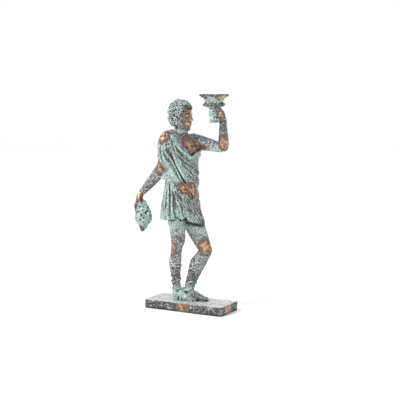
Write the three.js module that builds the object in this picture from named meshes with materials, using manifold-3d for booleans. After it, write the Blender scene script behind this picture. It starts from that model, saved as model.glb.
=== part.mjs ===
// Bronze statuette of a standing youth with a wine cup and grapes, on an oblong plinth.
// He lifts a footed cup in his left hand and lets a bunch of grapes hang from his right.
// His dress is gathered on his right shoulder, and he wears open-toed laced boots.
//
// Millimetres, +Z up. +X runs along the plinth, the way he faces, and +Y is his left.
// The origin is the centre of the plinth's underside.

import * as THREE from 'three'
import { LoftGeometry } from 'three/addons/geometries/LoftGeometry.js'
import { mergeVertices } from 'three/addons/utils/BufferGeometryUtils.js'
import Module from 'manifold-3d'

// Driving dimensions

const GAP = 0.3
const plinth = { length: 105, width: 44.4, height: 11, corner: 3, edge: 1 }
const soleBottom = plinth.height + GAP
const sole = { thickness: 1.9, length: 34.5, width: 11.8 }
const foot = {
  right: { heel: [-22.6, -1.9], yaw: -11 },
  left: { heel: [-11.4, 9.2], yaw: -11 }
}

// Trunk: yaw of hips and chest, and sections [height, half width, half depth]
const hips = { height: 140, yaw: -14 }
const chest = { height: 190, yaw: -24 }
const spine = [
  [108, -11.5, -2.2],
  [128, -12, -2.6],
  [158, -11.4, -3.2],
  [188, -11.2, -4],
  [214, -11, -5]
]
const bodySections = [
  [174, 17, 12],
  [186, 20.6, 14.4],
  [195, 21.4, 13.6],
  [203, 19.5, 10.8],
  [209, 13.5, 8.4],
  [213, 8.5, 7.4]
]
const clothSections = [
  [102, 28.2, 22.8],
  [111, 27.6, 21.7],
  [125, 27.4, 19.8],
  [140, 26.2, 17.8],
  [150, 25, 17],
  [160, 24.2, 16.6],
  [171, 23.4, 16],
  [183, 22.4, 15.8],
  [192, 23.6, 15.4],
  [200, 22.4, 13.2],
  [207, 16.5, 10.6],
  [212, 10, 8.2]
]

// The dress: hem, overfold and the places where its folds are gathered
const hem = { back: 110.5, front: 102.6, from: -62, lowest: 45, wall: 2.1, recess: 6 }
const overfold = { lowest: 152.5, at: -20, rise: 6.5, spread: 65, top: 167, thickness: 2 }
const shoulderFolds = {
  theta: -88, height: 214, least: 9, reach: 0.384, depth: 2.3,
  front: { angle: 7.2, count: 9 }, behind: { angle: 11, count: 6 }
}
const hipFolds = {
  theta: -78, height: 168, least: 12, reach: 0.42, depth: 2.4,
  front: { angle: 9.4, count: 8 }, straight: { spacing: 20, count: 8 }
}
const thighBulge = { theta: 28, spread: 40, below: 134, depth: 3.4 }
const neckline = [
  [-14.5, 212],
  [-14.5, 205],
  [-13.4, 199],
  [-9, 192],
  [-2.5, 186.2],
  [3.6, 183],
  [9.5, 187],
  [20, 190.4]
]
const armpitHeight = neckline.at(-1)[1]
const neckRoll = 1.7

const headPlace = { at: [-11.6, -4.1, 235.9], yaw: -2, nod: 3 }
const curls = { around: 24, rows: 11, size: [13.6, 12.5, 14.2], height: 1.9 }

const cup = { at: [33, -3.3], foot: 225.5 }
const bunch = { at: [-50.4, -25.8], top: 130.5, tip: 95, radius: 8.4, around: 18, rows: 11, height: 1.9 }

// Small helpers

const UP = new THREE.Vector3(0, 0, 1)
const LEFT = new THREE.Vector3(0, 1, 0)
const rad = THREE.MathUtils.degToRad
const smooth = (x, low = 0, high = 1) => THREE.MathUtils.smoothstep(x, low, high)
const wrap = (degrees) => THREE.MathUtils.euclideanModulo(degrees + 180, 360) - 180

const wasm = await Module()
wasm.setup()

// A manifold solid of a closed geometry
function solid(geometry) {
  const bare = new THREE.BufferGeometry()
  bare.setIndex(geometry.index)
  bare.setAttribute('position', geometry.getAttribute('position'))
  const merged = mergeVertices(bare, 1e-4)
  const corners = merged.index.array
  const triVerts = []
  for (let i = 0; i < corners.length; i += 3) {
    const [a, b, c] = corners.slice(i, i + 3)
    if (a !== b && b !== c && c !== a) triVerts.push(a, b, c)
  }
  const vertProperties = merged.getAttribute('position').array
  return new wasm.Manifold(new wasm.Mesh({
    numProp: 3, vertProperties: new Float32Array(vertProperties), triVerts: new Uint32Array(triVerts)
  }))
}

const join = (solids) => solids.reduce((sum, one) => sum.add(one))

// The geometry of a solid, without any pocket sealed inside it
function surface(body) {
  const outer = body.decompose().reduce((best, one) => (one.volume() > best.volume() ? one : best))
  const mesh = outer.getMesh()
  const geometry = new THREE.BufferGeometry()
  geometry.setAttribute('position', new THREE.BufferAttribute(mesh.vertProperties, 3))
  geometry.setIndex(new THREE.BufferAttribute(mesh.triVerts, 1))
  geometry.computeVertexNormals()
  return geometry
}

// Smooth value between the rows of a table whose first column is the height
function between(table, height) {
  const last = table.length - 1
  if (height <= table[0][0]) return table[0].slice(1)
  if (height >= table[last][0]) return table[last].slice(1)
  const row = table.findIndex((entry) => entry[0] > height)
  const t = smooth(height, table[row - 1][0], table[row][0])
  return table[row].slice(1).map((value, k) => THREE.MathUtils.lerp(table[row - 1][k + 1], value, t))
}

// An ellipsoid; turn gives its rotation about x, y and z in degrees
function ball(at, radii, turn = [0, 0, 0], [around, down] = [8, 5]) {
  const geometry = new THREE.SphereGeometry(1, around, down)
  geometry.scale(...radii)
  geometry.applyMatrix4(new THREE.Matrix4().makeRotationFromEuler(new THREE.Euler(...turn.map(rad))))
  geometry.translate(...at)
  return solid(geometry)
}

// A limb: oval sections square to a smooth line through stations [x, y, z, across, deep],
// where wide is the direction of 'across' and flutes are ridges along the limb
function limb(stations, { sides = 10, steps = 1, wide = LEFT, flutes = { count: 0, depth: 0 } } = {}) {
  const line = new THREE.CatmullRomCurve3(stations.map(([x, y, z]) => new THREE.Vector3(x, y, z)))
  const girth = new THREE.CatmullRomCurve3(
    stations.map(([, , , across, deep = across]) => new THREE.Vector3(across, deep, 0)),
    false,
    'catmullrom'
  )
  const count = (stations.length - 1) * steps
  const sections = []
  for (let i = 0; i <= count; i++) {
    const centre = line.getPoint(i / count)
    const size = girth.getPoint(i / count)
    const along = line.getTangent(i / count)
    const across = wide.clone().addScaledVector(along, -wide.dot(along)).normalize()
    const deep = along.clone().cross(across)
    const ring = []
    for (let k = 0; k < sides; k++) {
      const angle = (k / sides) * 2 * Math.PI
      const swell = 1 + flutes.depth * Math.cos(flutes.count * angle)
      ring.push(centre.clone()
        .addScaledVector(across, size.x * swell * Math.cos(angle))
        .addScaledVector(deep, size.y * swell * Math.sin(angle)))
    }
    sections.push(ring)
  }
  return solid(new LoftGeometry(sections, { capStart: true, capEnd: true }))
}

// A skin over level rings, where every other corner of every other ring is raised into a knob;
// ringAt gives a ring's centre, height and half widths for t from 0 to 1
function knobbly(ringAt, rows, sides, knob) {
  const sections = []
  for (let i = 0; i <= rows; i++) {
    const { x, y, z, wide, deep } = ringAt(i / rows)
    const ring = []
    for (let k = 0; k < sides; k++) {
      const angle = (k / sides) * 2 * Math.PI
      const raised = i % 2 === 1 && (k + (i - 1) / 2) % 2 === 0 ? knob : 0
      ring.push(new THREE.Vector3(
        x + (wide + raised) * Math.cos(angle), y + (deep + raised) * Math.sin(angle), z
      ))
    }
    sections.push(ring)
  }
  return solid(new LoftGeometry(sections, { capStart: true, capEnd: true }))
}

// Trunk and dress: angles run from his front towards his left, in degrees

const trunkYaw = (z) => THREE.MathUtils.lerp(hips.yaw, chest.yaw, smooth(z, hips.height, chest.height))

function onTrunk(theta, z, radius) {
  const [x, y] = between(spine, z)
  const angle = rad(trunkYaw(z) + theta)
  return new THREE.Vector3(x + radius * Math.cos(angle), y + radius * Math.sin(angle), z)
}

function ovalRadius(theta, halfWidth, halfDepth) {
  const angle = rad(theta)
  return (halfWidth * halfDepth) / Math.hypot(halfWidth * Math.cos(angle), halfDepth * Math.sin(angle))
}

const sectionRadius = (table, theta, z) => ovalRadius(theta, ...between(table, z))

const overfoldEdge = (theta) =>
  Math.min(overfold.lowest + overfold.rise * (wrap(theta - overfold.at) / overfold.spread) ** 2, overfold.top)

// The overfold stands out most in front, where its edge is lowest
const overfoldStep = (theta) =>
  overfold.thickness * (0.3 + 0.7 * Math.exp(-((wrap(theta - overfold.at) / overfold.spread) ** 2)))

// The cloth under its folds
function clothRadius(theta, z) {
  const upper = smooth(z, overfoldEdge(theta) - 2, overfoldEdge(theta) + 2)
  const bulge = thighBulge.depth * Math.exp(-((wrap(theta - thighBulge.theta) / thighBulge.spread) ** 2))
  const thigh = bulge * smooth(thighBulge.below - z, 0, 20)
  return sectionRadius(clothSections, theta, z) + (upper - 1) * overfoldStep(theta) + thigh
}

// A fan of folds seen as columns: each fold has a groove and the two shoulders of its broad back.
// A column leans from straight down by an angle, to his front where it is positive.
function fan({ angle, count }, side) {
  const columns = []
  for (let n = 0; n < count; n++) {
    for (const [step, crest] of [[0, 0], [0.3, 1], [0.72, 0.9]]) {
      columns.push({ lean: side * (n + step) * angle, crest })
    }
  }
  const last = count * angle
  columns.push({ lean: side * last, crest: 0 }, { lean: (side * (last + 88)) / 2, crest: 0 })
  return columns
}

// Where a column stands at a height: its angle round the trunk and how far it stands out
function columnAt({ lean = 0, turn = 0, crest }, gather, z) {
  const down = Math.max(gather.height - z, gather.least)
  const across = Math.abs(down * Math.tan(rad(lean))) / gather.reach / 180 + Math.abs(turn) / 180
  const most = 0.82
  const share = across < most ? across : 1 - (1 - most) * Math.exp((most - across) / (1 - most))
  const run = Math.hypot(down, share * 180 * gather.reach)
  const swell = smooth(run, gather.least * 0.5, 38) * smooth(1 - share, 0, 0.12)
  const side = lean < 0 || turn < 0 ? -1 : 1
  const flatter = 1 - 0.5 * smooth(share, 0.45, 0.65)
  return {
    theta: wrap(gather.theta + side * 180 * share),
    out: crest * swell * flatter * gather.depth
  }
}

// Cloth between two edges, skinned over columns that follow its folds
function pleated(columns, gather, { low, high, rows, radius }) {
  const sections = []
  for (let i = 0; i <= rows; i++) {
    sections.push(columns.map((column) => {
      let z = THREE.MathUtils.lerp(low(gather.theta), high(gather.theta), i / rows)
      let place = columnAt(column, gather, z)
      for (let pass = 0; pass < 12; pass++) {
        z = (z + THREE.MathUtils.lerp(low(place.theta), high(place.theta), i / rows)) / 2
        place = columnAt(column, gather, z)
      }
      return onTrunk(place.theta, z, radius(place.theta, z, place.out))
    }))
  }
  return solid(new LoftGeometry(sections, { capStart: true, capEnd: true }))
}

// The cloth that falls from the gathered right shoulder, alike in front and behind
function overfoldCloth() {
  const { front, behind } = shoulderFolds
  const columns = [...fan(behind, -1).slice(1).reverse(), ...fan(front, 1)]
  return pleated(columns, shoulderFolds, {
    low: overfoldEdge,
    high: () => 209,
    rows: 7,
    radius: (theta, z, out) => clothRadius(theta, z) + out
  })
}

// The skirt: a fan from the right hip across the front, straight folds on the right and behind
function skirtCloth() {
  const { front, straight } = hipFolds
  const columns = fan(front, 1)
  for (let n = 0; n < straight.count; n++) {
    for (const [step, crest] of [[0.28, 1], [0.7, 1], [1, 0]]) {
      columns.unshift({ turn: -(n + step) * straight.spacing, crest })
    }
  }
  return pleated(columns, hipFolds, {
    low: hemHeight,
    high: (theta) => overfoldEdge(theta) + 3,
    rows: 6,
    radius: (theta, z, out) => {
      const under = smooth(z, overfoldEdge(theta) - 5, overfoldEdge(theta) + 2)
      return clothRadius(theta, Math.min(z, overfoldEdge(theta) - 2)) + out * (1 - under)
    }
  })
}

function hemHeight(theta) {
  const turn = Math.abs(wrap(theta - hem.lowest))
  return THREE.MathUtils.lerp(hem.front, hem.back, smooth(turn, 0, hem.lowest - hem.from))
}

function trunkLoft(low, high, radius, sides, rows) {
  const sections = []
  for (let i = 0; i <= rows; i++) {
    const ring = []
    for (let k = 0; k < sides; k++) {
      const theta = (k / sides) * 360 - 180
      const z = THREE.MathUtils.lerp(low(theta), high(theta), i / rows)
      ring.push(onTrunk(theta, z, radius(theta, z)))
    }
    sections.push(ring)
  }
  return solid(new LoftGeometry(sections, { capStart: true, capEnd: true }))
}

// A point of the neckline on the front or the back of the dress
function onNeckline([side, z], front, lift = 0) {
  const [halfWidth, halfDepth] = between(clothSections, z)
  const sine = THREE.MathUtils.clamp(side / halfWidth, -1, 1)
  const depth = halfDepth * Math.sqrt(1 - sine * sine)
  const theta = THREE.MathUtils.radToDeg(Math.atan2(side, front * depth))
  return onTrunk(theta, z, Math.hypot(side, depth) + lift)
}

function dress() {
  const hollow = trunkLoft(
    (theta) => hemHeight(theta) - 4,
    (theta) => hemHeight(theta) + hem.recess,
    (theta, z) => clothRadius(theta, Math.max(z, hemHeight(theta))) - hem.wall,
    24, 1
  )
  const bare = new THREE.Shape()
  bare.moveTo(...neckline[0])
  bare.splineThru(neckline.slice(1).map(([side, z]) => new THREE.Vector2(side, z)))
  bare.lineTo(60, armpitHeight)
  bare.lineTo(60, 240)
  bare.lineTo(neckline[0][0], 240)
  const cut = new THREE.ExtrudeGeometry(bare, { depth: 80, bevelEnabled: false, curveSegments: 3 })
  cut.translate(0, 0, -40)
  // The shape's x runs to his left and its y runs up
  cut.rotateX(Math.PI / 2)
  cut.rotateZ(Math.PI / 2 + rad(chest.yaw))
  const [x, y] = between(spine, chest.height)
  cut.translate(x, y, 0)
  return skirtCloth().subtract(hollow).add(overfoldCloth().subtract(solid(cut)))
}

function neckBorder() {
  const across = (front) => neckline.map((point) => onNeckline(point, front, neckRoll))
  const underArm = onTrunk(90, armpitHeight, between(clothSections, armpitHeight)[0] - 1)
  const path = [...across(1), underArm, ...across(-1).reverse()]
  return limb(path.map(({ x, y, z }) => [x, y, z, neckRoll]), { sides: 5, wide: UP })
}

function sleeve() {
  const line = [
    [-14.6, -14.5, 209.6, 5.6, 6.4],
    [-17.8, -21.4, 205, 7.8, 8.6],
    [-19.4, -24.2, 199, 8.6, 9.2],
    [-20, -24.4, 191, 8.4, 9.2],
    [-21.8, -22.8, 183, 8.2, 9],
    [-25.2, -20.2, 176.5, 8.2, 8.6]
  ]
  return limb(line, { sides: 18, flutes: { count: 9, depth: 0.07 } })
}

function trunk() {
  const body = trunkLoft(() => 174, () => 213, (theta, z) => sectionRadius(bodySections, theta, z), 16, 5)
  return join([
    body,
    ball([-5.6, 2.6, 196], [12, 12, 10.6], [0, 0, chest.yaw], [12, 7]),
    ball([-3.5, 11.5, 205], [10.5, 9, 8.6], [0, 0, chest.yaw]),
    ball([-15, 8, 199], [8, 9, 10], [0, 0, chest.yaw]),
    limb([
      [-12.5, -5.2, 203, 13, 9],
      [-11.8, -5.1, 210, 8.4, 7.8],
      [-11.2, -5, 216, 7.2, 7.4],
      [-11.6, -4.8, 224, 6.9, 7.2]
    ], { sides: 12 })
  ])
}

// Head, in a frame of its own: x forward, y to his left, z up, origin inside the skull

function onHead(parts) {
  const turn = new THREE.Euler(0, rad(headPlace.nod), rad(headPlace.yaw), 'ZYX')
  const matrix = new THREE.Matrix4().makeRotationFromEuler(turn)
  matrix.setPosition(...headPlace.at)
  return parts.transform(matrix.elements)
}

function face() {
  const pair = (make) => [make(1), make(-1)]
  const mass = join([
    ball([-0.6, 0, 0.8], [13, 11.1, 14], [0, 0, 0], [10, 7]),
    limb([
      [3, 0, 2, 9.4, 9.2],
      [3.8, 0, -5, 8.8, 8.9],
      [4.3, 0, -11, 7.6, 8.4],
      [5.3, 0, -16, 5.4, 7.2],
      [6.4, 0, -18.8, 3.2, 4.6]
    ])
  ])
  const sockets = join(pair((s) => ball([13.2, 4.4 * s, -2.4], [2.6, 3.2, 1.9], [0, 0, 0], [6, 4])))
  return join([
    mass.subtract(sockets),
    ...pair((s) => ball([10.6, 4.3 * s, -2.3], [1.8, 2.4, 1.4], [0, 0, 0], [6, 4])),
    limb([
      [11.4, 0, 1.4, 1.2, 1],
      [13, 0, -2.2, 1.2, 1.6],
      [15.1, 0, -6.6, 2.1, 1.9],
      [13.6, 0, -8.6, 2.2, 1]
    ], { sides: 6 }),
    ball([12.5, 0, -11.1], [1.7, 3.4, 0.95], [0, 0, 0], [6, 4]),
    ball([12.1, 0, -12.9], [1.6, 2.9, 1], [0, 0, 0], [6, 4]),
    ...pair((s) => ball([-0.6, 10.6 * s, -3.8], [2.5, 1.5, 3.9], [0, 0, 0], [6, 4]))
  ])
}

// Short tight curls over the skull, fuller at the nape, with the face left bare
function hair() {
  const [deep, wide, tall] = curls.size
  const nape = rad(-56)
  const crown = rad(82)
  const cap = knobbly((t) => {
    const rise = THREE.MathUtils.lerp(nape, crown, t)
    const reach = Math.cos(rise < 0 ? rise * 0.75 : rise)
    return { x: -1.4, y: 0, z: 1.6 + tall * Math.sin(rise), wide: deep * reach, deep: wide * reach }
  }, curls.rows, curls.around, curls.height)
  const brow = new THREE.BoxGeometry(30, 40, 30)
  brow.translate(17.6, 0, -7.4)
  const temple = new THREE.BoxGeometry(30, 40, 20)
  temple.translate(12.8, 0, -12.6)
  return cap.subtract(solid(brow)).subtract(solid(temple))
}

// Arms and hands

function arms() {
  const left = [
    [-4, 11.8, 205.5, 9.2, 9.2],
    [2, 12.5, 204, 9.4, 9.4],
    [9, 12.3, 201.6, 8.8, 8.6],
    [17, 12, 199.6, 8, 7.7],
    [25, 11.4, 198, 7.2, 6.9],
    [33, 10.8, 197, 6.6, 6.5],
    [38.4, 10.2, 199, 6.3, 6.5],
    [39.8, 9.6, 205.5, 6.1, 6],
    [40.4, 8.4, 213.5, 5.7, 5.4],
    [40.8, 7.2, 221, 4.9, 4.6],
    [40.8, 5.6, 228, 4.3, 4.1]
  ]
  const right = [
    [-20.5, -25.5, 203, 8, 8.4],
    [-21.4, -24.6, 193, 7.4, 8],
    [-24.4, -22.2, 184, 7, 7.4],
    [-29.4, -19.8, 176, 6.8, 6.8],
    [-33.4, -19, 170, 6.6, 6.8],
    [-37, -19.2, 163.5, 6.6, 6.8],
    [-41.8, -20, 156, 6.2, 6.2],
    [-48.5, -22.4, 147.6, 5.2, 5],
    [-54, -25.2, 139.6, 4.1, 3.8]
  ]
  return join([limb(left), limb(right)])
}

// A finger through a knuckle, two joints and a tip; hinge is the line that its joints turn about
function finger(points, radius, hinge) {
  const taper = [1, 1.05, 0.95, 0.6]
  return limb(points.map((point, i) => [...point, radius * taper[i]]), { sides: 5, wide: hinge })
}

// The left fist: four fingers close round the cup's stem, the thumb comes from the other side
function leftHand() {
  const parts = [
    ball([40, 3.6, 233.4], [4.6, 4.4, 7.8], [0, -8, 0]),
    finger([[37, 4.2, 229.5], [31, 2.2, 231], [28.6, -2.6, 233.6], [29.6, -6.6, 236.8]], 2.2, UP)
  ]
  for (let i = 0; i < 4; i++) {
    const z = 229 + 3.6 * i
    const back = 0.9 * i
    parts.push(finger([
      [41.4 - back, 2.6, z], [42.4 - back, -3, z + 0.3], [38.6 - back, -8, z + 0.3], [33, -8.6, z]
    ], 2.1, UP))
  }
  return join(parts)
}

// The right hand hangs with its fingers closed on the top of the bunch
function rightHand() {
  const parts = [
    ball([-56, -26.4, 133.6], [3.9, 5.2, 8], [6, 12, 0]),
    finger([[-54, -30, 136], [-52.6, -31.6, 131], [-51.4, -31.4, 127.4], [-50.6, -30.4, 125]], 1.9, LEFT)
  ]
  for (let i = 0; i < 4; i++) {
    const y = -30.4 + 2.9 * i
    parts.push(finger([
      [-56.6, y, 131], [-59, y, 125.8], [-58, y, 121.6], [-54.6, y, 120]
    ], 1.8, LEFT))
  }
  return join(parts)
}

// A footed cup: flaring lip, ringed bowl with a true wall, stem down through the fist
function wineCup() {
  const outside = [
    [0, 0], [4.8, 0], [3.1, 3.6], [3.1, 13], [5, 16.4], [10, 17.8], [12.2, 21],
    [11.3, 23.4], [12.3, 27.4], [16.8, 31.4], [16.9, 32.3]
  ]
  const inside = [[15.8, 32.2], [11, 27.6], [10, 23], [8.4, 20.6], [0, 19.8]]
  const profile = [...outside, ...inside].map(([r, z]) => new THREE.Vector2(r, z))
  const turned = new THREE.LatheGeometry(profile, 16)
  turned.rotateX(Math.PI / 2)
  turned.translate(...cup.at, cup.foot)
  return solid(turned)
}

// Grapes packed in a drop-shaped bunch, wide above and pointed below, on a short stalk
function grapes() {
  const [x, y] = bunch.at
  const berries = knobbly((t) => {
    const width = Math.max(bunch.radius * Math.sin(Math.PI * Math.pow(1 - t, 0.72)) ** 0.6, 1.4)
    return { x, y, z: THREE.MathUtils.lerp(bunch.tip, bunch.top, t), wide: width, deep: width }
  }, bunch.rows, bunch.around, bunch.height)
  const stalk = limb([[-55, -26.6, 134, 1.6], [x - 1, y, 129, 1.7], [x, y, 122, 2]], { sides: 6 })
  return berries.add(stalk)
}

// Legs, boots and feet

// Each leg is skinned from hip to sole; the boot begins at a turned-down rim on the calf
// and has two lace bands
function legs() {
  const rim = { height: 1.9, proud: 1.2 }
  const band = { height: 1, proud: 0.7 }
  const ring = ([x, y, z, across, deep], { height, proud }, lean) => [1, 0, -1].map((step) => {
    const out = step === 0 ? proud : 0
    return [x + lean * step * height, y, z + step * height, across + out, deep + out]
  })
  const right = [
    [-15.2, -12.6, 125, 9.8, 11],
    [-14.2, -12.2, 110, 9.9, 10.5],
    [-13.4, -10.6, 95, 9, 9.4],
    [-13.6, -9.2, 84, 8, 8.6],
    [-15.2, -8.9, 76, 6.6, 7],
    [-16.2, -8.4, 69.5, 6.3, 6.8],
    [-17.6, -7, 60, 6.6, 7.2],
    ...ring([-18.3, -6, 51.2, 6.6, 7.2], rim, 0.1),
    ...ring([-18.8, -4, 38.4, 5, 5.5], band, 0),
    ...ring([-18.4, -2.6, 26, 4.4, 5], band, 0),
    [-18, -2, 15, 4.4, 5.6]
  ]
  const left = [
    [-9.6, 8.6, 123, 10.6, 12],
    [-3.4, 8.2, 107, 11.2, 12.4],
    [2.4, 7.6, 94, 10.8, 12.2],
    [8.6, 6.6, 83, 9.4, 10.4],
    [13.2, 5.8, 76.4, 8, 8.6],
    [15.8, 5.5, 71.5, 7.4, 8],
    [12.6, 5.2, 65.5, 7.6, 8.6],
    [8.2, 5.2, 58, 7.8, 9.4],
    ...ring([3.6, 5.7, 49.6, 7.4, 8.8], rim, 0.45),
    ...ring([-1.8, 6.3, 37, 5.9, 6.8], band, 0.4),
    ...ring([-5.4, 6.7, 25, 5, 5.8], band, 0.2),
    [-6.6, 7, 15, 4.6, 5.8]
  ]
  return join([
    limb(right),
    limb(left),
    ball([-12.9, -9.2, 72], [4.2, 4.8, 5.2]),
    ball([18.4, 5, 73.4], [5.6, 5.4, 6], [0, -30, 0])
  ])
}

// A foot along x from the heel, with its sole's underside at zero: sole, foot and five toes
function footShape(side) {
  const half = sole.width / 2
  const outline = new THREE.Shape([
    [0, 0], [1.4, 3.7], [17, 4.7], [26, half], [31.5, 5], [sole.length, 1.2 * side],
    [31.5, -5], [26, -half], [17, -4.7], [1.4, -3.7]
  ].map(([x, y]) => new THREE.Vector2(x, y)))
  const slab = new THREE.ExtrudeGeometry(outline, { depth: sole.thickness, bevelEnabled: false })
  const top = limb([
    [0.8, 0, 4.4, 2.6, 3.4],
    [4, 0, 5.8, 4.1, 5],
    [9, 0, 6.4, 4.5, 6],
    [15, 0.2 * side, 5.2, 4.7, 5],
    [22, 0.4 * side, 3.6, 5.2, 3.6],
    [28, 0.4 * side, 2.6, 5, 2.2]
  ], { sides: 8 })
  const toes = [0, 1, 2, 3, 4].map((i) => {
    const y = (4 - 2.05 * i) * side
    const tip = 33 - 0.75 * i
    const size = i === 0 ? 1.8 : 1.3
    return limb([[26.5, y * 0.95, 2.6, size], [tip - 2, y, 2.8, size], [tip, y, 2.4, size * 0.6]], { sides: 5 })
  })
  return join([solid(slab), top, ...toes])
}

function feet() {
  // The big toe is on the inner side: towards +y on the right foot
  const placed = ({ heel, yaw }, side) =>
    footShape(side).rotate([0, 0, yaw]).translate([heel[0], heel[1], soleBottom])
  return join([placed(foot.right, 1), placed(foot.left, -1)])
}

function figure() {
  const head = onHead(face().add(hair()))
  return join([
    dress(), neckBorder(), sleeve(), trunk(), head, arms(), leftHand(), rightHand(),
    wineCup(), grapes(), legs(), feet()
  ])
}

// The plinth: an oblong with rounded corners and softened edges
function plinthGeometry() {
  const { length, width, height, corner, edge } = plinth
  const x = length / 2 - edge
  const y = width / 2 - edge
  const r = corner - edge
  const outline = new THREE.Shape()
  outline.moveTo(x - r, -y)
  outline.absarc(x - r, -y + r, r, -Math.PI / 2, 0)
  outline.absarc(x - r, y - r, r, 0, Math.PI / 2)
  outline.absarc(-x + r, y - r, r, Math.PI / 2, Math.PI)
  outline.absarc(-x + r, -y + r, r, Math.PI, Math.PI * 1.5)
  return new THREE.ExtrudeGeometry(outline, {
    depth: height - 2 * edge,
    bevelSize: edge,
    bevelThickness: edge,
    bevelSegments: 2,
    curveSegments: 3
  }).translate(0, 0, edge)
}

const bronze = new THREE.MeshStandardMaterial({ color: 0x5f6f66, roughness: 0.55, metalness: 0.6 })
const plinthBronze = new THREE.MeshStandardMaterial({ color: 0x747f78, roughness: 0.5, metalness: 0.5 })

const statuette = new THREE.Group()
const figureMesh = new THREE.Mesh(surface(figure()), bronze)
figureMesh.name = 'figure'
const plinthMesh = new THREE.Mesh(surface(solid(plinthGeometry())), plinthBronze)
plinthMesh.name = 'plinth'
statuette.add(figureMesh, plinthMesh)

export default statuette
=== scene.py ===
import bpy
import numpy as np
import openvdb
from mathutils import Euler, Matrix, Vector


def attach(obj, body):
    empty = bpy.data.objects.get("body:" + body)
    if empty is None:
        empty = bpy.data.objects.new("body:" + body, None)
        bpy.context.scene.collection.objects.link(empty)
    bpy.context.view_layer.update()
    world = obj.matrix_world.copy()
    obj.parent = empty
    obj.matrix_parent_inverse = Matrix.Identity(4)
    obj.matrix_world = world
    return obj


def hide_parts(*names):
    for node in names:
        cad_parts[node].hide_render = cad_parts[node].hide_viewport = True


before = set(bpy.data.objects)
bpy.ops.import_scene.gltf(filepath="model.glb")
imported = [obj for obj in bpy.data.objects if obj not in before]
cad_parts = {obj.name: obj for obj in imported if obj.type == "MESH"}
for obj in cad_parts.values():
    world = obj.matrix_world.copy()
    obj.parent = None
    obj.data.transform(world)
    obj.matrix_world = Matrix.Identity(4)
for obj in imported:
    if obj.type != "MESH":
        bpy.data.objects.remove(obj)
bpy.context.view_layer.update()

MM = 0.001
VOXEL = 0.45
FAR = 8.0
FIGURE_TRIANGLES = 190000
PLINTH_TRIANGLES = 40000
LEFT = (0, 1, 0)
GOLDEN_TURN = np.pi * (3 - 5 ** 0.5)


def in_scene(name, data):
    obj = bpy.data.objects.new(name, data)
    bpy.context.scene.collection.objects.link(obj)
    return obj


# Camera: degrees and millimetres; the focal length is in pixels of the square photo

CAMERA = {"turn": 29, "pitch": 5.95, "away": 1100, "aside": 11, "height": 247, "focal": 925}
PHOTO_SIDE = 400
SENSOR = 36


def add_camera():
    turn, pitch = np.radians(CAMERA["turn"]), np.radians(CAMERA["pitch"])
    right = Vector((np.cos(turn), np.sin(turn), 0))
    ahead = Vector((-np.sin(turn), np.cos(turn), 0))
    up = Vector((0, 0, 1))
    data = bpy.data.cameras.new("photo_camera")
    data.sensor_width = SENSOR
    data.lens = SENSOR * CAMERA["focal"] / PHOTO_SIDE
    data.clip_start = 0.01
    camera = in_scene("photo_camera", data)
    camera.location = (right * CAMERA["aside"] - ahead * CAMERA["away"] + up * CAMERA["height"]) * MM
    look = ahead * np.cos(pitch) - up * np.sin(pitch)
    camera.rotation_euler = look.to_track_quat("-Z", "Y").to_euler()
    bpy.context.scene.camera = camera


add_camera()


# Small helpers

def smooth(x, low=0.0, high=1.0):
    """From 0 at low to 1 at high, which may be the lesser of the two."""
    t = np.clip((x - low) / (high - low), 0, 1)
    return t * t * (3 - 2 * t)


def wrap(degrees):
    return (degrees + 180) % 360 - 180


def between(table, height):
    """The columns of a table whose first column is the height, smoothly between its rows."""
    rows = np.array(table, np.float32)
    height = np.clip(height, rows[0, 0], rows[-1, 0])
    k = np.clip(np.searchsorted(rows[:, 0], height, side="right") - 1, 0, len(rows) - 2)
    t = smooth((height - rows[k, 0]) / (rows[k + 1, 0] - rows[k, 0]))
    return [rows[k, c] * (1 - t) + rows[k + 1, c] * t for c in range(1, rows.shape[1])]


def spline(points, spans):
    """A smooth line through the rows of points, with that many steps between two of them."""
    rows = np.array(points, float)
    padded = np.vstack([2 * rows[0] - rows[1], rows, 2 * rows[-1] - rows[-2]])
    line = []
    for i in range(len(rows) - 1):
        a, b, c, d = padded[i:i + 4]
        for t in np.arange(spans) / spans:
            line.append(0.5 * (2 * b + (c - a) * t + (2 * a - 5 * b + 4 * c - d) * t ** 2
                               + (3 * b - a - 3 * c + d) * t ** 3))
    return np.array(line + [rows[-1]])


def interpolated(values, place, ease=False):
    """A lattice's values at points given in its cells; past its ends it repeats itself."""
    cell = np.floor(place).astype(int)
    t = smooth(place - cell) if ease else place - cell
    total = 0
    for corner in np.ndindex(2, 2, 2):
        weight = 1
        for i in range(3):
            weight = weight * (t[..., i] if corner[i] else 1 - t[..., i])
        index = (cell + corner) % values.shape
        total = total + weight * values[tuple(np.moveaxis(index, -1, 0))]
    return total


def lattice_noise(points, scale, seed):
    """Smooth noise from -1 to 1 at points, with lumps about scale wide."""
    size = 32
    values = np.random.default_rng(seed).uniform(-1, 1, (size, size, size)).astype(np.float32)
    return interpolated(values, points / scale, ease=True)


def hump(offset, width):
    """A rounded hump, 1 where the offset is 0."""
    return np.exp(-(offset / width) ** 2)


# Sculpting: a distance field on a lattice, that solids are joined to and cut from

def joined(a, b, blend):
    if blend <= 0:
        return np.minimum(a, b)
    near = np.maximum(blend - np.abs(a - b), 0)
    return np.minimum(a, b) - near * near / (4 * blend)


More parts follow.
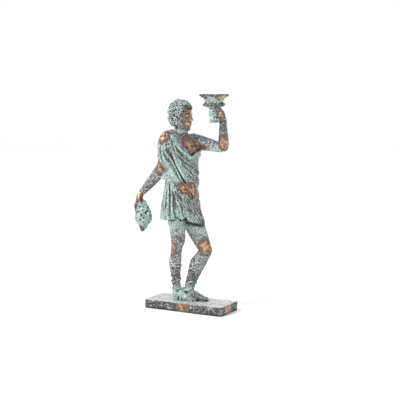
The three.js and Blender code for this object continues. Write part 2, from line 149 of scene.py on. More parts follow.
class Sculpt:
    def __init__(self, low, high, place=None):
        """A lattice from corner low to corner high; place is where a part's own frame lies."""
        self.first = np.floor(np.array(low) / VOXEL).astype(int)
        self.count = np.ceil(np.array(high) / VOXEL).astype(int) + 1 - self.first
        self.field = np.full(self.count, FAR, np.float32)
        lines = [(f + np.arange(n)).astype(np.float32) * np.float32(VOXEL)
                 for f, n in zip(self.first, self.count)]
        self.axes = np.meshgrid(*lines, indexing="ij", sparse=True)
        self.place = np.eye(4) if place is None else np.array(place)
        if place is not None:
            back = np.linalg.inv(self.place).astype(np.float32)
            self.axes = [back[i, 0] * self.axes[0] + back[i, 1] * self.axes[1]
                         + back[i, 2] * self.axes[2] + back[i, 3] for i in range(3)]

    def window(self, centre, radius):
        middle = self.place[:3, :3] @ np.array(centre, float) + self.place[:3, 3]
        start = np.floor((middle - radius) / VOXEL).astype(int) - self.first
        stop = np.ceil((middle + radius) / VOXEL).astype(int) + 1 - self.first
        return tuple(slice(max(a, 0), max(min(b, n), 0))
                     for a, b, n in zip(start, stop, self.count))

    def inside(self, span):
        return [axis[tuple(s if axis.shape[k] > 1 else slice(None) for k, s in enumerate(span))]
                for axis in self.axes]

    def join(self, shape, blend=0.0, sign=1):
        """Joins a shape of centre, radius and distance; a sign of -1 cuts it away instead."""
        centre, radius, distance = shape
        span = self.window(centre, radius + blend + 2 * VOXEL)
        if self.field[span].size:
            field = joined(sign * self.field[span], distance(*self.inside(span)), blend)
            self.field[span] = sign * field

    def cut(self, shape, blend=0.0):
        self.join(shape, blend, -1)

    def take(self, other, blend=0.0):
        """Joins another sculpt to this one."""
        start = other.first - self.first
        mine = tuple(slice(max(a, 0), min(a + n, m))
                     for a, n, m in zip(start, other.count, self.count))
        theirs = tuple(slice(s.start - a, s.stop - a) for s, a in zip(mine, start))
        self.field[mine] = joined(self.field[mine], other.field[theirs], blend)

    def values(self, points):
        """The field at points in millimetres."""
        place = np.clip(points / VOXEL - self.first, 0, self.count - 1.001)
        return interpolated(self.field, place)


def past_oval(u, v, w, a, b, c):
    """About how far a point lies outside an ellipsoid of radii a, b and c."""
    near = np.sqrt((u / a) ** 2 + (v / b) ** 2 + (w / c) ** 2)
    slope = np.sqrt((u / a ** 2) ** 2 + (v / b ** 2) ** 2 + (w / c ** 2) ** 2)
    return near * (near - 1) / np.maximum(slope, 1e-6)


def off_run(x, y, z, start, run):
    """How far along a run a point lies, from 0 to 1, and its offset from there."""
    p = (x - start[0], y - start[1], z - start[2])
    t = np.clip(sum(p[i] * run[i] for i in range(3)) / max(run @ run, 1e-9), 0, 1)
    return t, [p[i] - t * run[i] for i in range(3)]


def ball(at, radii, turn=(0, 0, 0)):
    """An ellipsoid, turned about x, y and z in degrees."""
    a, b, c = np.broadcast_to(np.array(radii, np.float32), 3)
    back = np.array(Euler(np.radians(turn), "ZYX").to_matrix().inverted(), np.float32)

    def distance(x, y, z):
        moved = (x - at[0], y - at[1], z - at[2])
        u, v, w = (sum(back[i, j] * moved[j] for j in range(3)) for i in range(3))
        return past_oval(u, v, w, a, b, c)

    return at, float(max(a, b, c)), distance


def rod(start, end, radius, end_radius=None):
    """A round-ended rod."""
    a, b = np.array(start, np.float32), np.array(end, np.float32)
    r0, r1 = radius, radius if end_radius is None else end_radius
    run = b - a

    def distance(x, y, z):
        t, off = off_run(x, y, z, a, run)
        return np.sqrt(sum(q ** 2 for q in off)) - (r0 + (r1 - r0) * t)

    return (a + b) / 2, np.linalg.norm(run) / 2 + max(r0, r1), distance


def oval_rod(start, end, flutes=(0, 0)):
    """A rod of oval section: start and end are x, y, z, half width to his left, half depth."""
    a, b = np.array(start[:3], np.float32), np.array(end[:3], np.float32)
    size0, size1 = np.array(start[3:5], np.float32), np.array(end[3:5], np.float32)
    run = b - a
    along = run / np.linalg.norm(run)
    across = np.array(LEFT, np.float32) - np.dot(LEFT, along) * along
    across = across / np.linalg.norm(across)
    axes = (across, np.cross(along, across), along)
    count, depth = flutes

    def distance(x, y, z):
        t, off = off_run(x, y, z, a, run)
        u, v, w = (sum(off[i] * axis[i] for i in range(3)) for axis in axes)
        wide = size0[0] + (size1[0] - size0[0]) * t
        deep = size0[1] + (size1[1] - size0[1]) * t
        if count:
            ridge = np.abs(np.sin(count / 2 * np.arctan2(v / deep, u / wide))) ** 0.7
            swell = 1 + depth * (ridge - 0.6)
            wide, deep = wide * swell, deep * swell
        return past_oval(u, v, w, wide, deep, np.minimum(wide, deep))

    return (a + b) / 2, np.linalg.norm(run) / 2 + float(max(*size0, *size1)) * 1.1, distance


def join_rods(part, points, radius, blend):
    for start, end in zip(points, points[1:]):
        part.join(rod(start, end, radius), blend)


def join_ovals(part, stations, blend=0.0, flutes=(0, 0)):
    for start, end in zip(stations, stations[1:]):
        part.join(oval_rod(start, end, flutes), blend)


def limb(stations, spans=3, flutes=(0, 0)):
    """A sculpt of a limb through stations x, y, z, half width to his left, half depth."""
    line = spline(stations, spans)
    edge = line[:, 3:].max() * 1.2 + 3 * VOXEL
    part = Sculpt(line[:, :3].min(0) - edge, line[:, :3].max(0) + edge)
    join_ovals(part, line, flutes=flutes)
    return part


def turned(profile, at, base):
    """A solid of revolution about a vertical line; profile has radius and height pairs."""
    points = np.array(profile, np.float32)
    top = points[:, 1].max()

    def distance(x, y, z):
        r = np.hypot(x - at[0], y - at[1])
        r, h = np.broadcast_arrays(r, z - base)
        nearest = np.full(r.shape, 1e6, np.float32)
        within = np.zeros(r.shape, bool)
        for (r0, h0), (r1, h1) in zip(points, np.roll(points, -1, 0)):
            run = np.array([r1 - r0, h1 - h0])
            t = np.clip(((r - r0) * run[0] + (h - h0) * run[1]) / max(run @ run, 1e-9), 0, 1)
            nearest = np.minimum(nearest, (r - r0 - t * run[0]) ** 2 + (h - h0 - t * run[1]) ** 2)
            if abs(h1 - h0) > 1e-6:
                crosses = ((h0 > h) != (h1 > h)) & (r < r0 + (h - h0) * (r1 - r0) / (h1 - h0))
                within ^= crosses
        return np.sqrt(nearest) * np.where(within, -1, 1)

    radius = float(np.hypot(points[:, 0].max(), top / 2))
    return (at[0], at[1], base + top / 2), radius, distance


# The trunk: angles run from his front towards his left, in degrees

SPINE = [[108, -11.5, -2.2], [128, -12, -2.6], [158, -11.4, -3.2], [188, -11.2, -4], [214, -11, -5]]
BODY = [[174, 17, 12], [186, 20.6, 14.4], [195, 21.4, 13.6], [203, 19.5, 10.8], [209, 13.5, 8.4],
        [213, 8.5, 7.4]]
CLOTH = [[102, 28.2, 22.8], [111, 27.6, 21.7], [125, 27.4, 19.8], [140, 26.2, 17.8], [150, 25, 17],
         [160, 24.2, 16.6], [171, 23.4, 16], [183, 22.4, 15.8], [192, 23.6, 15.4], [200, 22.4, 13.2],
         [207, 16.5, 10.6], [212, 10, 8.2]]
HEM_LINE = [[-180, 110.5], [-109, 110], [-81, 110.4], [-65, 111.2], [-63, 114.6], [-54, 112.4],
            [-42, 110], [-35, 111.8], [-32, 113], [-27, 110.4], [-18, 107.9], [-1, 105.8], [26, 103],
            [45, 102.6], [62, 104], [66, 102.8], [95, 107], [99, 105.4], [130, 110.5], [180, 110.5]]
HEM_WALL = 2.2
HEM_RECESS = 9
NECKLINE = [[-14.5, 212], [-14.5, 205], [-13.4, 199], [-9, 192], [-2.5, 186.2], [3.6, 183],
            [9.5, 187], [20, 190.4]]
NECK_ROLL = 1.6
SHOULDER_GATHER = {"theta": -88, "height": 214, "least": 9, "reach": 0.384, "span": 3.2, "start": 8}
HIP_GATHER = {"theta": -78, "height": 168, "least": 9, "reach": 0.42, "span": 3.3, "start": 16}
HIP_YAW = -14
CHEST_YAW = -24
DRESS_TOP = 211
BODY_BOTTOM = 174
BODY_TOP = 213
FOLD_DEPTH = 3.0
FINE_DEPTH = 0.7
FOLD_STEPS = 24
FOLD_TIP = 0.35


def trunk_yaw(z):
    return HIP_YAW + (CHEST_YAW - HIP_YAW) * smooth(z, 140, 190)


def on_trunk(theta, z, radius):
    x, y = between(SPINE, np.array(z))
    angle = np.radians(trunk_yaw(z) + theta)
    return np.array([x + radius * np.cos(angle), y + radius * np.sin(angle), z])


def round_trunk(x, y, z):
    cx, cy = between(SPINE, z)
    theta = wrap(np.degrees(np.arctan2(y - cy, x - cx)) - trunk_yaw(z))
    return theta.astype(np.float32), np.hypot(x - cx, y - cy)


def oval(theta, half_width, half_depth):
    angle = np.radians(theta)
    return half_width * half_depth / np.hypot(half_width * np.cos(angle), half_depth * np.sin(angle))


def overfold_edge(theta):
    """The lower edge of the cloth that hangs from the shoulder; it climbs steeply to his right."""
    turn = wrap(theta + 20)
    front = 5 * (turn / 65) ** 2 + 4 * smooth(turn, 14, 28)
    return 152.8 + np.where(turn > 0, front, 34 * (np.abs(turn) / 46) ** 1.4)


def overfold_step(theta):
    return 2.4 * (0.3 + 0.7 * hump(wrap(theta + 20), 65))


def hem_height(theta):
    line = np.array(HEM_LINE)
    return np.interp(theta, line[:, 0], line[:, 1]).astype(np.float32)


def fan_line(theta, z, gather):
    """The lean of the line from a gathering point to here, and how far along it this is."""
    turn = wrap(theta - gather["theta"])
    share = np.abs(turn) / 180
    most = 0.82
    beyond = most - (1 - most) * np.log(np.maximum((1 - share) / (1 - most), 1e-3))
    across = np.where(share < most, share, beyond)
    down = np.maximum(gather["height"] - z, gather["least"])
    lean = np.degrees(np.arctan2(across * 180 * gather["reach"], down))
    run = np.hypot(down, share * 180 * gather["reach"])
    return np.sign(turn) * lean, run


def pleats(phase, seed):
    """Ridge heights from 0 to 1, one ridge for each whole step of phase, uneven as cloth is."""
    u = phase + 0.22 * np.sin(1.9 * phase + seed) + 0.12 * np.sin(4.3 * phase + 2 * seed)
    n = np.floor(u)
    f = (u - n) ** 0.8
    size = 0.7 + 0.3 * np.sin(n * 2.4 + seed * 1.3)
    crest = np.sin(np.pi * f) ** 0.75
    crease = 0.2 * np.abs(np.sin(np.pi * (2.0 * f + 0.3 * np.sin(n * 1.7 + seed)))) ** 0.6
    return size * crest * (0.85 + crease)


def shoulder_folds(theta, z):
    lean, run = fan_line(theta, z, SHOULDER_GATHER)
    phase = np.where(lean > 0, lean / (5.2 + 0.05 * np.abs(lean)), lean / 9)
    return pleats(phase + 0.15 * np.sin(z * 0.12), 0.7) * smooth(run, 4, 34)


def fine_folds(theta, z, gather):
    """Many shallow folds of span degrees each, that grow from start millimetres off the gathering."""
    span, start = gather["span"], gather["start"]
    lean, run = fan_line(theta, z, gather)
    uneven = lean / span + 0.35 * np.sin(0.9 * lean / span + 0.1 * z)
    return (np.abs(np.sin(np.pi * uneven)) - 0.6) * smooth(run, start, start + 20)


def hip_folds(theta, z):
    turn = wrap(theta - HIP_GATHER["theta"])
    lean, run = fan_line(theta, z, HIP_GATHER)
    phase = np.where(turn > 0, lean / 7.4, turn / 11.5)
    swell = np.where(turn > 0, smooth(run, 4, 36), smooth(HIP_GATHER["height"] - z, -6, 26))
    return pleats(phase + 0.12 * np.sin(z * 0.1), 2.1) * (0.25 + 0.75 * swell)


def calm(theta):
    """Less of the regular pleats where the single folds below are carved."""
    return 1 - 0.6 * smooth(theta, -112, -98) * (1 - smooth(theta, 30, 46))


def waist(theta, z):
    """How much narrower his right flank is at the waist."""
    return 3.2 * hump(wrap(theta + 102), 34) * hump(z - 152, 24)


def lower_cloth(theta, z):
    thigh = 3.4 * hump(wrap(theta - 28), 40) * smooth(134 - z, 0, 20)
    upper = smooth(z, 158, 172)
    folds = (1 - upper) * hip_folds(theta, z) + upper * shoulder_folds(theta, z)
    base = oval(theta, *between(CLOTH, z)) - overfold_step(theta) + thigh - waist(theta, z)
    base = base - 2.2 * hump(wrap(theta - 34), 40) * hump(z - 129, 20)
    flatter = 1 - 0.3 * smooth(wrap(theta + 40), 40, 110)
    fine = fine_folds(theta, z, HIP_GATHER) * FINE_DEPTH
    return base + folds * FOLD_DEPTH * flatter * calm(theta) + fine


def upper_cloth(theta, z):
    flatter = 1 - 0.3 * smooth(np.abs(wrap(theta + 20)), 60, 130)
    folds = shoulder_folds(theta, z) * FOLD_DEPTH * flatter * calm(theta)
    flank = 1.6 * hump(wrap(theta - 48), 30) * hump(z - 172, 11)
    fine = fine_folds(theta, z, SHOULDER_GATHER) * FINE_DEPTH
    return oval(theta, *between(CLOTH, z)) + folds - waist(theta, z) - flank + fine


def above_neckline(x, y, z):
    """How far a point is above the neckline of the dress, seen square on to the chest."""
    cx, cy = between(SPINE, np.array([190.0]))
    yaw = np.radians(CHEST_YAW)
    side = -(x - cx[0]) * np.sin(yaw) + (y - cy[0]) * np.cos(yaw)
    line = spline(NECKLINE[1:], 4)
    height = np.interp(side, np.r_[-14.6, line[:, 0], 60], np.r_[230, line[:, 1], line[-1, 1]])
    return (z - height.astype(np.float32)) * 0.75


def dress():
    part = Sculpt((-44, -36, 96), (22, 30, 218))
    x, y, z = part.axes
    theta, r = round_trunk(x, y, z)
    hem = hem_height(theta)
    edge = overfold_edge(theta)
    lower = lower_cloth(theta, z)
    under = np.maximum((r - lower) * 0.8, hem - z)
    over = np.maximum((r - upper_cloth(theta, z)) * 0.8, (edge - z) * 0.9)
    cloth = joined(np.maximum(under, z - DRESS_TOP), np.maximum(over, z - DRESS_TOP), 0.5)
    hollow = np.maximum(r - (lower - HEM_WALL), z - (hem + HEM_RECESS))
    cloth = -joined(-cloth, hollow, 0.4)
    part.field = -joined(-cloth, -above_neckline(x, y, z), 0.5).astype(np.float32)
    return part


def on_neckline(side, z, front, lift):
    half_width, half_depth = between(CLOTH, np.array(z))
    depth = half_depth * np.sqrt(1 - np.clip(side / half_width, -1, 1) ** 2)
    theta = np.degrees(np.arctan2(side, front * depth))
    return on_trunk(theta, z, np.hypot(side, depth) + lift)


def neck_border(part):
    for front in (1, -1):
        points = [on_neckline(side, z, front, 1.5) for side, z in NECKLINE]
        points.append(on_trunk(90, NECKLINE[-1][1], between(CLOTH, np.array(190.4))[0] + 0.6))
        join_rods(part, spline(points, 5), NECK_ROLL, 0.5)


def bare_trunk():
    part = Sculpt((-36, -30, 168), (16, 30, 232))
    x, y, z = part.axes
    theta, r = round_trunk(x, y, z)
    body = (r - oval(theta, *between(BODY, z))) * 0.85
    part.field = np.maximum(body, np.maximum(BODY_BOTTOM - z, z - BODY_TOP)).astype(np.float32)
    # Breast, left shoulder and its blade, upper back, slope of the right shoulder
    for at, radii, blend in (((-5.6, 2.6, 195.6), (12, 12, 10), 5), ((-4.2, 11, 203), (10, 8.6, 7.8), 4.5),
                             ((-15, 8, 199), (8, 9, 10), 5), ((-18.5, -4, 205), (5, 9, 6), 4),
                             ((-13.5, -9, 209.5), (5.5, 7, 4.4), 4)):
        part.join(ball(at, radii, (0, 0, CHEST_YAW)), blend)
    # Neck, its two front cords and the collar bone
    neck = limb([[-12.5, -5.2, 202, 13, 9], [-11.8, -5.1, 209.6, 8.6, 7.8], [-11.2, -5, 216, 6.9, 7.1],
                 [-11.6, -4.8, 226, 6.6, 7]])
    part.take(neck, 4)
    for side in (1, -1):
        part.join(rod((-13, -4.6 + 7.2 * side, 226), (-4.4, -6.6 + 1.6 * side, 208.4), 1.7, 1.3), 2.5)
    part.join(rod((-2.6, -4.4, 207.2), (-2.2, 10.5, 209.6), 1.5, 1.9), 3)
    return part


def armpit():
    part = Sculpt((-6, 2, 170), (18, 26, 200))
    part.join(rod((4.2, 12.6, 190), (3.2, 13.4, 186), 2.4), 2)
    part.join(rod((3.2, 13.4, 186), (1, 14.6, 180), 2.2, 1.6), 2)
    return part


def sleeve():
    return limb([
        [-15.6, -15.5, 210.4, 5.6, 6.4],
        [-18.4, -21.8, 206.2, 8, 8.6],
        [-19.4, -24.2, 200, 8.7, 9.2],
        [-19.6, -24.2, 191, 8.4, 9.2],
        [-20.8, -22.4, 183, 8.2, 8.8],
        [-23.6, -19.8, 176.5, 8.0, 8.2]
    ], spans=4, flutes=(22, 0.24))


# Single folds on the side he shows: width and height of a fold, then pairs of angle and height

RIBBON = (-90, 212, -66, 209, -50, 200, -31, 191, -7, 185)
RIDGES = [
    (1.2, 1.1, *RIBBON),
    # Down from the shoulder to his left flank
    (1.3, 0.9, -55, 193, -34, 184, -7, 178, 31, 172),
    (1.2, 0.8, -47, 186, -26, 172, -2, 163, 18, 160),
    (1.1, 0.6, -34, 172, -12, 162, -2, 157),
    # Down from the shoulder to the edge of the overfold
    (0.8, 0.5, -57, 198, -43, 182, -15, 160),
    (0.9, 0.6, -62, 202, -51, 187, -32, 167, -14, 156),
    (0.8, 0.5, -69, 203, -59, 189, -44, 173, -27, 158),
    (1.6, 1.1, -72, 200, -62, 189, -47, 173, -22, 156),
    (1.3, 1.1, -78, 201, -74, 194, -68, 181, -50, 164, -37, 154),
    (1.2, 0.9, -84, 200, -80, 183, -74, 171, -51, 155),
    (0.8, 0.5, -88, 199, -87, 180, -62, 156),
    (1.1, 0.8, -84, 185, -83, 171, -67, 154),
    (1.2, 0.8, -92, 199, -93, 177),
    (1.1, 0.8, -101, 199, -103, 183),
    # Skirt
    (1.7, 1.2, -92, 162, -86, 142, -83, 131, -84, 112),
    (1.4, 1.0, -101, 150, -101, 112),
    (1.3, 0.8, -79, 156, -72, 128, -69, 112),
    (1.5, 1.1, -74, 153, -60, 137, -41, 112),
    (1.1, 0.6, -47, 137, -28, 126, -20, 110),
    # Across the belly
    (1.0, 0.5, -62, 150, -26, 133),
    (0.8, 0.6, -50, 148, -14, 135),
    (0.9, 0.5, -38, 142, -5, 133),
    (1.0, 0.6, -45, 152, -17, 142, 14, 135),
    (0.9, 0.5, -32, 151, -7, 144, 30, 138)
]
GROOVES = [
    # Under the ribbon and down to his left flank
    (1.0, 0.9, -53, 196, -26, 185, 29, 173),
    (0.8, 0.7, -50, 190, -37, 182, -9, 176, 24, 171),
    (0.9, 0.8, -34, 179, -21, 172, 20, 162),
    (0.8, 0.7, -30, 171, 4, 158),
    # Down from the shoulder to the edge of the overfold
    (1.0, 1.15, -74, 197, -68, 187, -52, 172, -26, 153),
    (0.8, 0.8, -80, 199, -77, 184, -67, 172, -54, 161),
    (0.7, 0.6, -87, 198, -87, 172),
    (0.8, 0.8, -96, 198, -98, 182),
    # Skirt
    (1.0, 1.0, -97, 157, -91, 128, -92, 110),
    (1.0, 1.0, -85, 157, -78, 133, -77, 110),
    (0.8, 0.7, -76, 149, -67, 131, -64, 112),
    (1.0, 0.9, -65, 145, -52, 133, -32, 111),
    (0.7, 0.6, -57, 141, -41, 132),
    (0.7, 0.6, -107, 132, -109, 110),
    # Across the belly
    (0.8, 0.7, -77, 160, -61, 150, -42, 144),
    (0.8, 0.5, -28, 148, 20, 136),
    (0.8, 0.8, -3, 152, 12, 147)
]
# The gathering on the shoulder's polished top
GROOVES += [(0.8, 1.2, 7 * i - 105, 210 + i, 7 * i - 91, 199) for i in range(4)]


def on_surface(sculpt, line, lift):
    """Points over the outermost surface round the trunk, along a line of angles and heights."""
    radii = np.arange(42, 6, -0.3)
    found = []
    for theta, z in line:
        ray = np.array([on_trunk(theta, z, r) for r in radii])
        inside = np.nonzero(sculpt.values(ray) < 0)[0]
        found.append(radii[inside[0]] if len(inside) else np.nan)
    radius = np.array(found)
    known = ~np.isnan(radius)
    radius = np.interp(np.arange(len(radius)), np.nonzero(known)[0], radius[known])
    even = np.convolve(np.pad(radius, 2, mode="edge"), np.ones(5) / 5, mode="valid")
    return [on_trunk(theta, z, r + lift) for (theta, z), r in zip(line, even)]


def carve_folds(sculpt):
    plans = [(1, *plan) for plan in RIDGES] + [(-1, *plan) for plan in GROOVES]
    for sign, width, height, *places in plans:
        places = np.reshape(places, (-1, 2))
        line = spline(places, FOLD_STEPS // (len(places) - 1))
        points = on_surface(sculpt, line, sign * (height - width))
        last = len(points) - 1
        for i in range(last):
            start, end = (max(min(k, last - k, 3) / 3, FOLD_TIP) for k in (i, i + 1))
            sculpt.join(rod(points[i], points[i + 1], width * start, width * end), 0.9, sign)


# Head, in a frame of its own: x forward, y to his left, z up, origin inside the skull

HEAD = Matrix.Translation((-10.9, -4.1, 235.6)) @ Euler(np.radians((0, 3, -2))).to_matrix().to_4x4()


def head():
    part = Sculpt((-34, -24, 208), (14, 16, 262), HEAD)
    # Skull and jaw
    part.join(ball((-0.8, 0, 1), (12.8, 11, 13.8)))
    join_ovals(part, [[3, 0, 2, 9.3, 9], [3.8, 0, -5, 8.7, 8.8], [4.3, 0, -11, 7.4, 8.2],
                      [5.2, 0, -15.6, 5.4, 6.9]], 3)
    for side in (1, -1):
        part.join(rod((-2.4, 8.4 * side, -7.6), (-0.6, 7.9 * side, -12), 2.1), 3)
        part.join(rod((-0.6, 7.9 * side, -12), (7.4, 2.6 * side, -18), 2.1, 2.2), 3)
        part.join(ball((8.6, 6 * side, -5.6), (3.2, 3, 2.6)), 3)
        part.join(rod((11.8, 1.6 * side, 1.2), (9.8, 7.2 * side, 0.9), 1.5, 1.2), 1.8)
    part.join(ball((9.9, 0, -17.4), (3.1, 3.2, 2.7)), 2.5)
    # Eyes under lids
    for side in (1, -1):
        part.cut(ball((13.8, 4.3 * side, -2.2), (3.3, 3.5, 2.3)), 1.3)
        part.join(ball((10.2, 4.3 * side, -2.4), (2.2, 2.5, 2)), 0.3)
        for bow, radius in ((1.15, 0.55), (-1.0, 0.45)):
            lid = [(12.1, 1.9), (12.7, 3.1), (12.6, 4.5), (11.9, 5.8), (10.8, 6.9)]
            line = [(x, y * side, -2.4 + bow * np.sin(np.pi * (y - 1.9) / 5.0) ** 0.8)
                    for x, y in lid]
            join_rods(part, spline(line, 2), radius, 0.5)
    # Nose
    part.join(rod((12.2, 0, 1), (13.3, 0, -2.4), 1.2, 1.15), 1.6)
    part.join(rod((13.3, 0, -2.4), (15.3, 0, -6.4), 1.15, 1.6), 1.4)
    part.join(ball((15.3, 0, -6.9), (1.9, 1.8, 1.5)), 0.8)
    for side in (1, -1):
        part.join(ball((14, 1.9 * side, -7.6), (1.5, 1, 1.1)), 0.8)
        part.cut(ball((15, 1 * side, -8.5), (0.9, 0.5, 0.5)), 0.3)
    # Mouth
    part.join(ball((11.6, 0, -11.6), (2.2, 4.2, 2.6)), 2)
    for side in (1, -1):
        part.join(rod((13.7, 0.7 * side, -10.9), (12.1, 3.3 * side, -11.6), 0.8, 0.4), 0.7)
    part.join(ball((13.1, 0, -12.9), (1.3, 2.5, 0.85)), 0.7)
    part.cut(ball((14.4, 0, -11.95), (2.0, 3.7, 0.3)), 0.3)
    part.cut(ball((13.6, 0, -14.9), (1.4, 2.4, 0.8)), 1.2)
    # Back of the head
    part.join(ball((-7.6, 0, -7.5), (7.2, 8, 8.4)), 3)
    return part


NAPE_ROWS = [(-6.4, 11.8, 11.8), (-8.9, 10.9, 11.3), (-11.4, 9.2, 10.6), (-13.8, 7, 9.2)]


def curls(part):
    """Tight curls over the skull, and rows of them round the nape as height and two radii."""
    rng = np.random.default_rng(11)
    reach = np.array([14.3, 12.6, 14.1])
    count = 250
    places = []
    for i in range(count):
        rise = 1 - 2 * (i + 0.5) / count
        turn = i * GOLDEN_TURN
        flat = np.sqrt(1 - rise * rise)
        way = np.array([np.cos(turn) * flat, np.sin(turn) * flat, rise])
        at = way * reach + (-0.9, 0, 1.6)
        on_face = at[0] > 6.6 + 0.6 * at[2] and at[2] < 6.8
        if at[2] > -5.2 and not on_face:
            places.append((at, way / reach))
    for k, (z, long, wide) in enumerate(NAPE_ROWS):
        for degrees in np.arange(61 + 6 * k, 300 - 6 * k, 15) + 7 * (k % 2):
            turn = np.radians(degrees)
            at = np.array([-3 + long * np.cos(turn), wide * np.sin(turn), z])
            places.append((at, np.array([np.cos(turn) / long, np.sin(turn) / wide, -0.02])))
    for at, out in places:
        out = out / np.linalg.norm(out) + rng.normal(0, 0.2, 3)
        out = out / np.linalg.norm(out)
        at = at + rng.normal(0, 0.3, 3) + out * rng.uniform(-0.5, 0.3)
        size = rng.uniform(0.85, 1.2)
        part.cut(ball(at, 1.9 * size), 0.3)
        part.join(curl(at, out, 1.35 * size, 0.82 * size), 0.1)
        part.cut(rod(at - out * 1.2, at + out * 1.5, 0.5 * size), 0.15)


def curl(at, out, ring, radius):
    """A tight curl with a drilled hole: a ring square to out."""
    def distance(x, y, z):
        p = (x - at[0], y - at[1], z - at[2])
        along = sum(p[i] * out[i] for i in range(3))
        square = sum(p[i] ** 2 for i in range(3)) - along ** 2
        return np.sqrt((np.sqrt(np.maximum(square, 0)) - ring) ** 2 + along ** 2) - radius

    return at, ring + radius, distance


# Arms and hands

def arms():
    left = limb([
        [-4, 11.8, 201.6, 8.4, 8.4], [2, 12.5, 201.4, 8.7, 8.7], [9, 12.3, 200, 8.4, 8.4],
        [17, 12, 198.4, 7.8, 7.5], [25, 11.4, 197, 7, 6.8], [33, 10.8, 196.2, 6.5, 6.4],
        [38, 10.2, 198, 6.3, 6.5], [38.8, 9.6, 205, 6.1, 6], [39.2, 8.4, 213.5, 5.7, 5.3],
        [39.6, 7.2, 221, 4.9, 4.5], [40.2, 5.6, 228, 4.3, 4.1]
    ])
    left.join(ball((16, 11.2, 199.6), (9, 6, 6)), 3)
    left.join(ball((40, 10.6, 194.8), (3.4, 3.2, 3.2)), 2.5)
    right = limb([
        [-20, -25, 203, 7.6, 8], [-20.4, -24.2, 193, 7.2, 7.8], [-21.6, -21.8, 184, 6.9, 7.2],
        [-26, -19.6, 176, 6.8, 6.8], [-30.6, -18.8, 169.4, 6.8, 6.9], [-35.4, -19, 162.4, 6.7, 6.9],
        [-41.4, -20, 155.4, 6.2, 6.2], [-48.5, -22.4, 147.2, 5.2, 5], [-54.2, -25.2, 139.6, 4.1, 3.8]
    ])
    # The casting leaves bronze between the elbow and the waist
    right.join(rod((-30, -19.5, 163.5), (-21, -19, 158), 4.4, 2.6), 3)
    right.join(rod((-29, -21, 168.5), (-21, -22, 164.5), 3.6, 2.6), 3)
    return left, right


def finger(part, points, radius):
    taper = (1, 1.03, 0.95, 0.72)
    for i in range(3):
        part.join(rod(points[i], points[i + 1], radius * taper[i], radius * taper[i + 1]), 0.35)
        part.join(ball(points[i + 1], radius * taper[i + 1] * 1.07), 0.35)


def left_hand():
    part = Sculpt((22, -16, 220), (50, 14, 248))
    part.join(ball((39.2, 3.4, 233.2), (4.4, 4.4, 7.4), (0, -8, 0)))
    part.join(rod((40.2, 5.6, 224), (39.6, 4, 230), 4.1, 4.1), 2)
    finger(part, [(37, 4.2, 229.5), (31, 2.2, 231), (28.6, -2.6, 233.6), (29.6, -6.6, 236.8)], 2.2)
    for i in range(4):
        z = 229 + 3.6 * i
        back = 0.9 * i
        finger(part, [(41.4 - back, 2.6, z), (42.4 - back, -3, z + 0.3), (38.6 - back, -8, z + 0.3),
                      (33, -8.6, z)], 2.05)
    part.join(rod((33, -6.6, 229), (32.4, -6.2, 241), 2.6), 1.2)
    return part


def right_hand():
    part = Sculpt((-66, -40, 114), (-44, -14, 146))
    part.join(ball((-56, -26.4, 133.6), (3.9, 5.2, 8), (6, 12, 0)))
    finger(part, [(-54, -30, 136), (-52.6, -31.6, 131), (-51.4, -31.4, 127.4), (-50.6, -30.4, 125)], 1.9)
    for i in range(4):
        y = -30.4 + 2.9 * i
        finger(part, [(-56.6, y, 131), (-59, y, 125.8), (-58, y, 121.6), (-54.6, y, 120)], 1.75)
    return part


# What he holds

CUP = {"at": (33, -3.3), "foot": 225.5}
BUNCH = {"at": (-50.4, -25.8), "top": 132.0, "tip": 95.5}
BUNCH_WIDTH = [[95.5, 0.6], [98, 1.8], [101, 3.8], [106, 6.9], [110, 8.1], [113.5, 8.4], [120, 7.6],
               [125, 5.8], [128.5, 3.9], [132, 2.2]]
BUNCH_LEAN = [[95.5, -1.8], [101, -0.7], [106, 0.1], [113, -0.4], [120, -0.8], [126, -2.4], [132, -2]]


def at_turn(centre, radius, turn, z):
    """A point at a radius and a turn round a vertical line."""
    return centre[0] + radius * np.cos(turn), centre[1] + radius * np.sin(turn), z


def wine_cup():
    centre, foot = CUP["at"], CUP["foot"]
    part = Sculpt((centre[0] - 20, centre[1] - 20, 222), (centre[0] + 20, centre[1] + 20, 262))
    outside = [(0, -0.8), (5.2, -0.8), (5.6, 0.2), (4.6, 3.2), (3.6, 6), (3.9, 10), (4.6, 13), (5.4, 15.4),
               (7.2, 16.8), (9.6, 17.9), (11.2, 19.4), (11.5, 20.8), (11, 22.4), (10.9, 24), (11.2, 25.8),
               (12.2, 27.4), (14.6, 29), (17, 30.2), (17.6, 31.3), (17, 32.4)]
    inside = [(15.9, 32.1), (13.8, 30.4), (11, 27.6), (10, 23), (8.4, 20.6), (4, 19.9), (0, 19.8)]
    part.join(turned(outside + inside, centre, foot))
    # A row of beads, with drilled holes above and below the gaps
    beads = 17
    for i in range(beads):
        turn = 2 * np.pi * i / beads
        part.join(ball(at_turn(centre, 11.2, turn, foot + 20.2 + 0.5 * (i % 2)), 1.9), 0.2)
        turn += np.pi / beads
        for level, radius in ((18.4, 0.75), (22.8, 1.1)):
            start, end = (at_turn(centre, reach, turn, foot + level) for reach in (9.6, 14))
            part.cut(rod(start, end, radius), 0.2)
    return part


